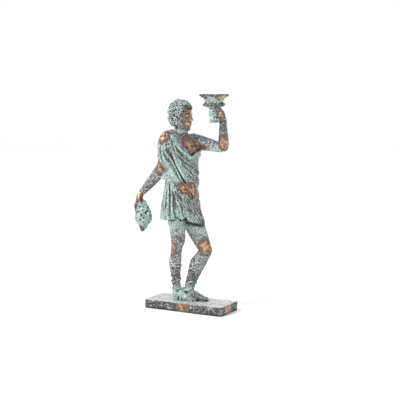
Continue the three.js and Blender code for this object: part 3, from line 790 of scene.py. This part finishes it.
def grapes():
    x, y = BUNCH["at"]
    tip, top = BUNCH["tip"], BUNCH["top"]
    part = Sculpt((x - 14, y - 14, 90), (x + 14, y + 14, 138))
    rng = np.random.default_rng(5)

    def section(z):
        return float(between(BUNCH_WIDTH, z)[0]), (x + float(between(BUNCH_LEAN, z)[0]), y)

    rows = 12
    for i in range(rows):
        z = tip + (top - tip) * (i + 0.3) / rows
        wide, middle = section(z)
        part.join(ball((*middle, z), (wide * 0.94, wide * 0.94, 3.6)), 1.5)
        around = max(int(2 * np.pi * wide / 3.9), 3)
        for k in range(around):
            turn = 2 * np.pi * (k + 0.5 * (i % 2)) / around + rng.normal(0, 0.08)
            out = wide * rng.uniform(0.95, 1.08)
            at = at_turn(middle, out, turn, z + rng.normal(0, 0.4))
            part.join(ball(at, rng.uniform(1.7, 2.25)), 1.5)
    holes = 40
    for i in range(holes):
        z = tip + 3 + (top - tip - 8) * (i + 0.5) / holes
        turn = i * GOLDEN_TURN + rng.normal(0, 0.25)
        wide, middle = section(z)
        start, end = (at_turn(middle, wide + past, turn, z) for past in (-0.9, 3))
        part.cut(rod(start, end, rng.uniform(0.7, 1.1)), 0.25)
    # The stalk
    join_rods(part, [(-55, -26.6, 134), (x - 1, y, 129), (x, y, 122)], 2.2, 1.2)
    return part


# Legs, boots and feet

def ring_band(part, centre, across, deep, radius, lean):
    """A lace or a rim round a leg: a thin oval ring, tilted by lean towards x and y."""
    sides = 28
    points = []
    for turn in 2 * np.pi * np.arange(sides + 1) / sides:
        dx, dy = deep * np.cos(turn), across * np.sin(turn)
        points.append((centre[0] + dx, centre[1] + dy, centre[2] + lean[0] * dx + lean[1] * dy))
    join_rods(part, points, radius, 0.4)


def legs():
    right = limb([
        [-14.6, -12.6, 125, 9.8, 11], [-13.2, -12.2, 110, 9.9, 10.4], [-12.3, -10.6, 95, 9, 9.4],
        [-12.5, -9.2, 84, 8, 8.6], [-14.2, -8.9, 76, 6.6, 7.2], [-15.4, -8.4, 69.5, 6.3, 7],
        [-17, -7, 60, 6.6, 7.2], [-18.2, -6, 51.2, 6.4, 7], [-18.8, -4, 38.4, 5, 5.5],
        [-18.4, -2.6, 26, 4.4, 5], [-18, -2, 15, 4.4, 5.6]
    ])
    right.join(ball((-12.6, -9.4, 72), (3.4, 4, 4.6)), 2)
    right.join(ball((-20.4, -6.8, 58.5), (4.4, 5, 9)), 3)
    left = limb([
        [-9.6, 8.6, 123, 10.6, 12], [-2.6, 8.2, 107, 11, 12.3], [4.6, 7.6, 94, 10.6, 11.4],
        [11, 6.6, 83, 9.4, 9.6], [15, 5.8, 76.4, 8, 8.5], [17.2, 5.5, 71.5, 7.4, 7.9],
        [13.6, 5.2, 65.5, 7.6, 8.5], [8.8, 5.2, 58, 7.8, 9.4], [3.9, 5.7, 49.6, 7.3, 8.7],
        [-1.6, 6.3, 37, 5.9, 7], [-5.2, 6.7, 25, 5, 6], [-6.6, 7, 15, 4.6, 5.8]
    ])
    left.join(ball((19.6, 5, 73.8), (4.4, 5, 5.4), (0, -30, 0)), 2.5)
    left.join(ball((2.6, 5.8, 55), (6, 5.6, 8), (0, 30, 0)), 3)
    right.join(rod((-8, -1, 108), (-6, -1, 100), 4, 3), 3)
    # Boot rims, then laces that cross from one side to the other
    ring_band(right, (-18.1, -6, 52.6), 6.24, 6.84, 1.3, (0.05, 0))
    ring_band(left, (4.4, 5.7, 51.2), 7.24, 8.24, 1.2, (0.45, 0))
    for i in range(6):
        z = 20 + 5 * i
        t = i / 5.6
        tilt = 0.5 if i % 2 else -0.45
        ring_band(right, (-18.3 - 0.3 * t, -2.4 - 2.6 * t, z), 4.3 + t, 4.8 + 0.8 * t, 0.85, (0.1, tilt))
        ring_band(left, (-6.2 + 8.4 * t, 6.8 - t, z), 4.9 + 1.5 * t, 5.7 + 1.6 * t, 0.85, (0.3, tilt))
    return right, left


# Heels of the right and left foot, and the side on which each has its big toe
HEELS = (((-22.6, -1.9), 1), ((-11.4, 9.2), -1))
FOOT_YAW = -11
SOLE_BOTTOM = 11.3
SOLE_THICKNESS = 1.9
SOLE_LENGTH = 34.5


def foot(heel, side):
    place = Matrix.Translation((*heel, SOLE_BOTTOM)) @ Matrix.Rotation(np.radians(FOOT_YAW), 4, "Z")
    centre = place @ Vector((17, 0, 5))
    part = Sculpt(np.array(centre) - (26, 16, 10), np.array(centre) + (26, 16, 12), place)
    top = spline([[0.8, 0, 4.4, 2.8, 3.4], [4, 0, 5.8, 4.3, 5], [9, 0, 5.6, 4.6, 5.4],
                  [15, 0.2 * side, 4.4, 4.7, 4.4], [22, 0.4 * side, 3, 5.2, 3.2],
                  [28, 0.4 * side, 2.2, 5, 2]], 2)
    join_ovals(part, top, 0.4)
    for i in range(5):
        y = (4 - 2.05 * i) * side
        tip = 33 - 0.75 * i
        size = 1.75 if i == 0 else 1.25
        part.join(rod((26.5, y * 0.95, 2.8), (tip - 2, y, 2.9), size * 0.95, size), 0.4)
        part.join(ball((tip - 0.6, y, 2.5), size), 0.3)
        part.cut(rod((27, y - 1.05 * side, 4.6), (tip, y - 1.05 * side, 3.6), 0.5), 0.3)
    # Straps over the instep
    for x, high in ((10, 11.0), (15.5, 8.8), (21, 6.4)):
        points = [(x, 5.6 * np.cos(t), max(high * np.sin(t), 1)) for t in np.linspace(0, np.pi, 9)]
        join_rods(part, points, 0.75, 0.5)
    x, y, z = part.axes
    sole = np.maximum(np.maximum(-z, z - SOLE_THICKNESS), sole_outline(x, y, side))
    part.field = joined(part.field, sole.astype(np.float32), 0.5)
    part.field = np.maximum(part.field, -z).astype(np.float32)
    return part


def sole_outline(x, y, side):
    """Distance past the edge of a sole, seen from above."""
    half = np.interp(x, [0, 1.4, 6, 17, 26, 31.5, SOLE_LENGTH], [0.8, 3.6, 4.3, 4.7, 5.8, 4.8, 1.2])
    return np.maximum(np.abs(y - 0.02 * x * side) - half, np.maximum(-x, x - SOLE_LENGTH))


def ankle_web():
    part = Sculpt((-26, -10, 9), (6, 16, 36))
    part.join(rod((-14, 0.5, 20), (-9, 4.5, 20.5), 4.6), 2)
    part.join(rod((-13.5, 0.5, 14), (-6, 5.5, 14), 5), 2)
    part.join(rod((-9, -3.5, 14), (-3, 1, 13.5), 3.4, 3), 2)
    return part


def sculpt_figure():
    whole = Sculpt((-64, -40, 9), (54, 32, 262))
    whole.take(dress())
    whole.take(bare_trunk(), 0.8)
    whole.take(sleeve(), 1.0)
    whole.take(armpit(), 2.0)
    carve_folds(whole)
    neck_border(whole)
    skull = head()
    curls(skull)
    left_arm, right_arm = arms()
    right_leg, left_leg = legs()
    parts = [(skull, 1.6), (left_arm, 2.5), (right_arm, 0.8), (left_hand(), 1.5), (right_hand(), 1.5),
             (wine_cup(), 0.4), (grapes(), 0.4), (right_leg, 1.0), (left_leg, 1.0), (ankle_web(), 2.0)]
    parts += [(foot(heel, side), 1.0) for heel, side in HEELS]
    for part, blend in parts:
        whole.take(part, blend)
    return whole


# Meshing

def in_main_island(count, faces):
    """Which faces belong to the largest connected island; the specks beside it are left out."""
    label = np.arange(count)
    while True:
        before = label.copy()
        least = label[faces].min(axis=1)
        for corner in faces.T:
            np.minimum.at(label, corner, least)
        label = label[label]
        if (label == before).all():
            break
    island = label[faces[:, 0]]
    return island == np.bincount(island).argmax()


def mesh_of(sculpt, name):
    grid = openvdb.FloatGrid(FAR)
    grid.copyFromArray(np.clip(sculpt.field, -FAR, FAR))
    points, quads = grid.convertToQuads(0)
    used, quads = np.unique(quads[in_main_island(len(points), quads)], return_inverse=True)
    quads = quads.reshape(-1, 4)
    points = (points[used] + sculpt.first) * VOXEL
    mesh = bpy.data.meshes.new(name)
    mesh.vertices.add(len(points))
    mesh.vertices.foreach_set("co", (points * MM).astype(np.float32).ravel())
    mesh.loops.add(quads.size)
    mesh.loops.foreach_set("vertex_index", quads.astype(np.int32).ravel())
    mesh.polygons.add(len(quads))
    mesh.polygons.foreach_set("loop_start", np.arange(0, quads.size, 4, dtype=np.int32))
    mesh.update(calc_edges=True)
    mesh.validate()
    return mesh


def vectors(items, name):
    """That vector of each item, as rows of an array."""
    out = np.zeros(len(items) * 3, np.float32)
    items.foreach_get(name, out)
    return out.reshape(-1, 3)


def roughen(mesh, parts):
    """Moves the surface in and out by noise: strength, scale and seed, with a mask of the points."""
    points, normals = vectors(mesh.vertices, "co") / MM, vectors(mesh.vertex_normals, "vector")
    shift = np.zeros(len(points), np.float32)
    for strength, scale, seed, mask in parts:
        shift += strength * mask(points) * lattice_noise(points, scale, seed)
    moved = (points + normals * shift[:, None]) * MM
    mesh.vertices.foreach_set("co", moved.astype(np.float32).ravel())
    mesh.update()


def everywhere(points):
    return 1.0


def off_underside(points):
    return smooth(points[:, 2], 0.2, 2)


def on_boots(points):
    x, _, z = points.T
    return smooth(z, 56, 48) * smooth(z, 15, 20)


def on_grapes_and_cup(points):
    x, _, z = points.T
    return np.maximum(smooth(x, -40, -44) * smooth(z, 134, 130), smooth(z, 240, 243) * smooth(x, 12, 16))


def thinned(mesh, most):
    """An object of the mesh in the scene, brought down to so many triangles and shaded smooth."""
    triangles = sum(len(p.vertices) - 2 for p in mesh.polygons)
    obj = in_scene(mesh.name, mesh)
    if triangles > most:
        modifier = obj.modifiers.new("thin", "DECIMATE")
        modifier.ratio = most / triangles
        bpy.context.view_layer.update()
        graph = bpy.context.evaluated_depsgraph_get()
        less = bpy.data.meshes.new_from_object(obj.evaluated_get(graph))
        obj.modifiers.clear()
        less.validate()
        obj.data = less
    obj.data.shade_smooth()
    return obj


# Wear and patina by place: x, y and z of its centre, three radii and the strength

POLISHED = [
    (-19.8, -27, 207, 6.8, 8, 8, 0.98),
    (0.8, -7, 201, 7, 8, 7, 1.0),
    (4, -4.5, 193, 5, 5.5, 6.5, 0.95),
    (9, 6, 195, 8, 6, 3.4, 1.05),
    (42, 4, 201, 6, 9, 8.4, 1.24),
    (-29, -24.5, 173, 6.5, 7, 9, 0.98),
    (-55, -31, 137, 4.5, 6, 7.5, 1.25),
    (0.5, -13, 148, 11, 10, 7, 1.08),
    (7, -5, 144, 8, 8, 9.5, 1.2),
    (-17.5, -16, 74.5, 5.4, 5.4, 8.4, 1.1),
    (20, 1, 76.5, 8.6, 9.2, 9, 1.04),
    (2.5, -6.5, 230, 7.5, 9, 12.5, 1.2),
    (43, -3, 234, 4.5, 5.5, 6.5, 1.22),
    (45.5, -8, 255, 7, 7, 3.2, 1.3),
    (27, -15, 254.8, 3, 5, 2, 0.9),
    (-52.5, -27.5, 99, 5, 5, 4.5, 0.7),
    (-25, 12, 199, 7, 7, 8, 0.9),
    (-29, 2, 146, 6, 8, 8, 0.8)
]
GREEN = [
    (-14, -9, 214.5, 8, 9, 4.5, 0.3),
    (4, -5, 197, 6, 6, 6, 0.2),
    (-10, -5, 220, 10, 10, 6, -0.12),
    (-14, -2, 17, 15, 14, 12, 0.54),
    (16, -2, 14, 12, 20, 6, -0.22),
    (-48, -25.8, 116, 9, 16, 15, 0.36),
    (31, -5, 233, 10, 12, 12, 0.4),
    (2, 18, 186, 10, 9, 8, 0.3),
    (-12, -26, 168, 10, 9, 14, 0.22),
    (-20, -26, 116, 10, 14, 18, 0.06),
    (33, -3, 251, 16, 16, 4, 0.16),
    (-24, -22, 138, 14, 14, 34, 0.02),
    (33, 10, 192, 14, 8, 5, 0.3),
    (22, 10, 206, 22, 12, 10, -0.2),
    (40, 6, 216, 9, 9, 16, -0.16),
    (-5, -9, 207, 8, 8, 6, -0.3),
    (33, -3, 257, 22, 22, 3, -0.6),
    (33, -3, 245.6, 15, 15, 3, -0.5),
    (38.5, -9, 237, 3.5, 3, 8, -0.4),
    (8, -4, 120, 16, 18, 22, -0.18),
    (-16, -8, 88, 14, 12, 14, -0.1),
    (-12, -4, 238, 18, 16, 18, -0.14),
    (-18, -5, 38, 11, 11, 18, -0.2),
    (-59.5, -29, 124.5, 3, 6, 6, -0.8),
    (-24.5, -22, 162, 5, 5, 5, 0.4),
    (2, 5, 50, 10, 8, 22, -0.16),
    (-2, -14, 180, 20, 16, 24, 0.1),
    (8, 0, 106, 14, 18, 5, -0.3),
    (-17, -20, 191, 14, 14, 12, -0.14),
    (-41, -21, 154, 9, 9, 16, -0.18),
    (12, 0, 160, 7, 10, 30, -0.26),
    (17, 0, 118, 8, 14, 20, -0.3),
    (-6, -10, 99, 6, 8, 7, 0.35)
]


# Hollows that get less of the dark patina and painted shade: centre and radius
LESS_DARK_PATINA_AND_SHADE = [(6, 10, 188, 11), (-24, -22, 163, 8), (4, -4, 225, 6), (3, -3, 103, 10)]


def amount(points, places, near=0.5, far=1.5, combine=np.maximum):
    """What places give at points: all of it inside near of their radii, nothing beyond far."""
    total = np.zeros(len(points))
    for *numbers, strength in places:
        centre, radii = np.reshape(numbers, (2, 3))
        reach = np.sqrt((((points - centre) / radii) ** 2).sum(1))
        total = combine(total, strength * (1 - smooth(reach, near, far)))
    return total


def set_attribute(mesh, name, values):
    layer = mesh.attributes.new(name, "FLOAT", "POINT")
    layer.data.foreach_set("value", values.astype(np.float32))


def paint_figure(mesh, sculpt):
    points, normals = vectors(mesh.vertices, "co") / MM, vectors(mesh.vertex_normals, "vector")
    # How closed in each point is: it darkens hollows with dark patina and painted shade
    hollow = np.zeros(len(points), np.float32)
    for reach, share in ((1.2, 0.45), (2.4, 0.35), (4.5, 0.2)):
        hollow += share * np.clip(1 - sculpt.values(points + normals * reach) / reach, 0, 1.5)
    crest = np.zeros(len(points), np.float32)
    for reach in (1.6, 3.2):
        crest += 0.5 * np.clip(1 + sculpt.values(points - normals * reach) / reach, 0, 1)
    x, y, z = points.T
    theta, r = round_trunk(x, y, z)
    below = hem_height(theta) - z
    # Painted shade along the hem and under the boot's rim; darker inside the cup's lip
    hollow += 0.6 * smooth(below, -0.9, 0.2) * smooth(below, 2.2, 0.8) * (r < 29)
    hollow += 0.6 * hump(z - 50.2, 0.8) * (x < -11)
    # Less dark patina and painted shade in these hollows
    for *centre, radius in LESS_DARK_PATINA_AND_SHADE:
        hollow *= 1 - 0.6 * (1 - smooth(np.linalg.norm(points - centre, axis=1) / radius, 0.5, 1.3))
    at_cup = np.hypot(x - CUP["at"][0], y - CUP["at"][1])
    hollow += 0.35 * smooth(z, 255.6, 256.8) * (at_cup > 15)
    under_hem = smooth(below, 2, 4) * smooth(below, 15, 7) * smooth(z, 84, 88)
    border = np.zeros(len(points), np.float32)
    edge_points = [on_neckline(side, z, 1, 1.5) for side, z in spline(NECKLINE[3:], 4)]
    ribbon = on_surface(sculpt, spline(np.reshape(RIBBON, (-1, 2)), 8), 0)
    for centre in edge_points + ribbon:
        border = np.maximum(border, 1 - smooth(np.linalg.norm(points - centre, axis=1), 1.2, 2.6))
    cloth = smooth(z, 100, 106) * smooth(z, 212, 206) * (r < 34)
    hollow *= 1 - 0.14 * cloth
    cloth *= above_neckline(x, y, z) < 0
    # Fine folds on the cloth: dark patina with painted shade in their grooves
    upper = z > overfold_edge(theta)
    stripes = cloth * np.where(upper, fine_folds(theta, z, SHOULDER_GATHER),
                               fine_folds(theta, z, HIP_GATHER))
    hollow += 0.5 * np.clip(-stripes - 0.1, 0, 1)
    # Verdigris amount; its rise on crests and fold ridges is partly a painted highlight
    green = 0.5 + amount(points, GREEN, 0.55, 1.35, np.add) + 0.3 * border + 0.4 * under_hem
    green += (0.35 + 0.42 * cloth) * crest + 0.55 * stripes
    set_attribute(mesh, "green", np.clip(green, 0, 1.0))
    set_attribute(mesh, "worn", amount(points, POLISHED))
    set_attribute(mesh, "hollow", np.clip(hollow, 0, 1))


# Materials

class Shade:
    """A node material with a short way to write its nodes."""
    def __init__(self, name):
        self.material = bpy.data.materials.new(name)
        self.material.use_nodes = True
        self.tree = self.material.node_tree
        self.shader = self.tree.nodes["Principled BSDF"]
        self.place = self.tree.nodes.new("ShaderNodeTexCoord").outputs["Object"]

    def link(self, value, socket):
        if isinstance(value, bpy.types.NodeSocket):
            self.tree.links.new(value, socket)
        else:
            socket.default_value = value

    def node(self, kind, inputs, **settings):
        """A new node; inputs gives a value or another node's output for each socket it names."""
        node = self.tree.nodes.new("ShaderNode" + kind)
        for name, value in settings.items():
            setattr(node, name, value)
        for key, value in inputs.items():
            self.link(value, node.inputs[key])
        return node.outputs

    def noise(self, scale, detail=2.0, roughness=0.5):
        """Noise from 0 to 1 whose lumps are about 1 / scale metres wide."""
        inputs = {"Scale": scale, "Detail": detail, "Roughness": roughness, "Vector": self.place}
        return self.node("TexNoise", inputs)["Fac"]

    def attribute(self, name):
        return self.node("Attribute", {}, attribute_name=name)["Fac"]

    def math(self, operation, *values):
        return self.node("Math", dict(enumerate(values)), operation=operation)[0]

    def total(self, base, *shares):
        """The base plus each pair's value times its share."""
        for value, share in shares:
            base = self.math("MULTIPLY_ADD", value, share, base)
        return base

    def step(self, value, low, high, out_low=0.0, out_high=1.0):
        inputs = dict(enumerate((value, low, high, out_low, out_high)))
        return self.node("MapRange", inputs, interpolation_type="SMOOTHSTEP")[0]

    def mix(self, factor, a, b):
        a, b = (v if isinstance(v, bpy.types.NodeSocket) else (*v, 1) for v in (a, b))
        return self.node("Mix", {0: factor, 6: a, 7: b}, data_type="RGBA")[2]

    def finish(self, colour, metallic, roughness):
        self.link(colour, self.shader.inputs["Base Color"])
        self.link(metallic, self.shader.inputs["Metallic"])
        self.link(roughness, self.shader.inputs["Roughness"])
        return self.material


CHARCOAL = (0.036, 0.041, 0.041)
PLUM = (0.072, 0.064, 0.066)
TURQUOISE = (0.29, 0.485, 0.44)
PALE_GREY = (0.49, 0.54, 0.51)
COPPER = (0.225, 0.137, 0.104)
# Gold of rubbed bronze, partly a painted highlight
GOLD_AND_HIGHLIGHT = (0.58, 0.42, 0.25)
UMBER = (0.07, 0.046, 0.048)
GLINT = (0.8, 0.83, 0.82)
# Near-black for hollows: dark patina and painted shade
DARK_PATINA_AND_SHADE = (0.015, 0.015, 0.016)
# Pale top of the plinth, partly a painted reflection, in a dim and a full tone
PALE_AND_REFLECTED_DIM = (0.34, 0.355, 0.335)
PALE_AND_REFLECTED = (0.5, 0.515, 0.49)
BUMP_DEPTH = 0.0009


def patina(shade, top=False):
    """Bronze under speckled verdigris with painted glints, rubbed bright where worn, with dark patina and
    painted shade in hollows, and pale on the plinth's top, partly as a painted reflection.
    """
    mix, step, noise, total, math = shade.mix, shade.step, shade.noise, shade.total, shade.math
    green, worn, hollow = (shade.attribute(name) for name in ("green", "worn", "hollow"))
    grain = noise(640, 3, 0.7)
    blotch = noise(170)
    drift = noise(60)
    cover = total(grain, (green, 0.32), (blotch, 0.25), (hollow, -0.24))
    cover = step(cover, 0.705, 0.9)
    dark = mix(step(drift, 0.4, 0.65, 0.0, 0.2 if top else 1.0), CHARCOAL, PLUM)
    tint = total(noise(300, 2, 0.6), (green, 0.5))
    light = mix(step(tint, 0.77, 1.12), PALE_GREY, TURQUOISE)
    colour = mix(cover, dark, light)
    # Painted glints: near-white specks, more where greener and fewer in hollows
    painted_glints = total(noise(880), (green, 0.06), (hollow, -0.1))
    colour = mix(step(painted_glints, 0.6, 0.68, 0.0, 0.7), colour, GLINT)
    pits = step(noise(700), 0.36, 0.44, 0.75, 0.0)
    colour = mix(pits, colour, CHARCOAL)
    # Rubbed bronze, with a darker rim round it; its gold is partly a painted highlight on crests
    streak = noise(300, 3, 0.65)
    wear_and_highlight = total(streak, (worn, 0.4), (green, 0.35), (hollow, -0.5))
    bright = mix(step(wear_and_highlight, 0.97, 1.27), COPPER, GOLD_AND_HIGHLIGHT)
    bright = mix(step(streak, 0.3, 0.46, 0.7, 0.0), bright, UMBER)
    edge = total(worn, (blotch, 1.0), (noise(420, 3, 0.7), 0.9), (hollow, -0.8))
    bare = step(edge, 1.22, 1.5)
    colour = mix(step(edge, 0.98, 1.34), colour, UMBER)
    colour = mix(bare, colour, bright)
    # Dark patina and painted shade in the hollows
    colour = mix(step(hollow, 0.36, 0.88, 0.0, 0.75), colour, DARK_PATINA_AND_SHADE)
    metallic = math("MULTIPLY_ADD", bare, 0.6, 0.25)
    roughness = math("MULTIPLY_ADD", bare, -0.24, step(cover, 0, 1, 0.46, 0.8))
    if top:
        shade.shader.inputs["Specular IOR Level"].default_value = 0.3
        # The plinth's pale top: partly pale patina, partly a painted reflection
        pale_and_reflected = total(shade.attribute("pale_and_reflected_top"), (noise(90, 3, 0.6), 0.5))
        pale_and_reflected = step(pale_and_reflected, 0.75, 1.1)
        spots = step(noise(160, 4, 0.7), 0.36, 0.56)
        colour = mix(pale_and_reflected, colour, mix(spots, PALE_AND_REFLECTED_DIM, PALE_AND_REFLECTED))
        metallic = math("MULTIPLY", metallic, math("SUBTRACT", 1.0, pale_and_reflected))
        roughness = math("MULTIPLY_ADD", pale_and_reflected, -0.3, roughness)
    relief = total(grain, (noise(900), 0.4))
    bump = shade.node("Bump", {"Height": relief, "Strength": 0.7, "Distance": BUMP_DEPTH})
    shade.link(bump["Normal"], shade.shader.inputs["Normal"])
    return shade.finish(colour, metallic, roughness)


def add_figure():
    sculpt = sculpt_figure()
    mesh = mesh_of(sculpt, "bronze_figure")
    roughen(mesh, [(0.14, 1.7, 1, everywhere), (0.25, 6, 2, everywhere), (0.75, 2.4, 3, on_boots),
                   (0.18, 1.8, 4, on_grapes_and_cup)])
    obj = thinned(mesh, FIGURE_TRIANGLES)
    paint_figure(obj.data, sculpt)
    obj.data.materials.append(patina(Shade("aged_bronze")))
    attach(obj, "root")
    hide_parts("figure")


# Plinth

PLINTH = {"length": 106.0, "width": 44.4, "height": 11.0, "corner": 3.6, "edge": 1.2}
BANDS = [(0.4, -22.2, 5.5, 8.5, 5, 9, 1.2), (52.5, -4.6, 5.5, 5, 8.5, 9, 1.4),
         (-18, 22.2, 5.5, 8.5, 5, 9, 1.0), (-52.5, 6, 5.5, 5, 8.5, 9, 1.0)]


def add_plinth():
    half_x, half_y = PLINTH["length"] / 2, PLINTH["width"] / 2
    height, corner, edge = PLINTH["height"], PLINTH["corner"], PLINTH["edge"]
    part = Sculpt((-half_x - 2, -half_y - 2, -2), (half_x + 2, half_y + 2, height + 2))
    x, y, z = part.axes
    dx = np.maximum(np.abs(x) - half_x + corner, 0)
    dy = np.maximum(np.abs(y) - half_y + corner, 0)
    side = np.hypot(dx, dy) - corner
    flat = np.maximum(side, np.maximum(-z, z - height))
    past = np.maximum(np.maximum(edge - z, z - height + edge), 0)
    rounded = np.hypot(np.maximum(side + edge, 0), past) - edge
    near_edge = (side > -edge) | (z > height - edge) | (z < edge)
    part.field = np.where(near_edge, rounded, flat).astype(np.float32)
    mesh = mesh_of(part, "bronze_plinth")
    roughen(mesh, [(0.3, 9, 7, off_underside), (0.15, 2.2, 8, off_underside)])
    obj = thinned(mesh, PLINTH_TRIANGLES)
    points = vectors(obj.data.vertices, "co") / MM
    top = smooth(points[:, 2], height - 1.2, height - 0.2)
    set_attribute(obj.data, "worn", amount(points, BANDS) * (1 - top))
    # Darker and less green towards the bottom edge
    low = 1 - smooth(points[:, 2], 0.6, 3)
    blots = lattice_noise(points * (0.7, 0.7, 1.5), 2.8, 9)
    set_attribute(obj.data, "green", 0.19 + 0.55 * blots - 0.4 * low + 0.3 * top)
    set_attribute(obj.data, "hollow", 0.5 * low)
    # Where the top is pale, partly as a painted reflection, a little less at its very edge
    inset = np.minimum(half_x - np.abs(points[:, 0]), half_y - np.abs(points[:, 1]))
    set_attribute(obj.data, "pale_and_reflected_top", top * (0.7 + 0.3 * smooth(inset, 0.4, 2.2)))
    obj.data.materials.append(patina(Shade("aged_bronze_plinth"), top=True))
    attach(obj, "root")
    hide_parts("plinth")


# Floor and light, in metres

FLOOR_REACH = 4
LIGHTS_AIM = (0, 0, 0.13)


def add_floor():
    mesh = bpy.data.meshes.new("floor")
    corners = [(FLOOR_REACH * x, FLOOR_REACH * y, 0) for x, y in ((-1, -1), (1, -1), (1, 1), (-1, 1))]
    mesh.from_pydata(corners, [], [(0, 1, 2, 3)])
    mesh.materials.append(Shade("pale_floor").finish((0.99, 0.99, 0.99, 1), 0.0, 0.7))
    floor = in_scene("floor", mesh)


def add_area_light(name, at, size, power):
    data = bpy.data.lights.new(name, "AREA")
    data.size = size
    data.energy = power
    light = in_scene(name, data)
    light.location = at
    light.rotation_euler = (Vector(LIGHTS_AIM) - Vector(at)).to_track_quat("-Z", "Y").to_euler()


def add_lights():
    world = bpy.data.worlds.new("world")
    bpy.context.scene.world = world
    world.use_nodes = True
    background = world.node_tree.nodes["Background"]
    background.inputs["Color"].default_value = (1, 1, 1, 1)
    background.inputs["Strength"].default_value = 1.0
    add_area_light("key", at=(-0.7, -0.9, 1.15), size=0.45, power=17)
    add_area_light("side", at=(1.1, -0.5, 0.6), size=0.4, power=0.6)
    bpy.context.scene.view_settings.view_transform = "Standard"


add_figure()
add_plinth()
add_floor()
add_lights()
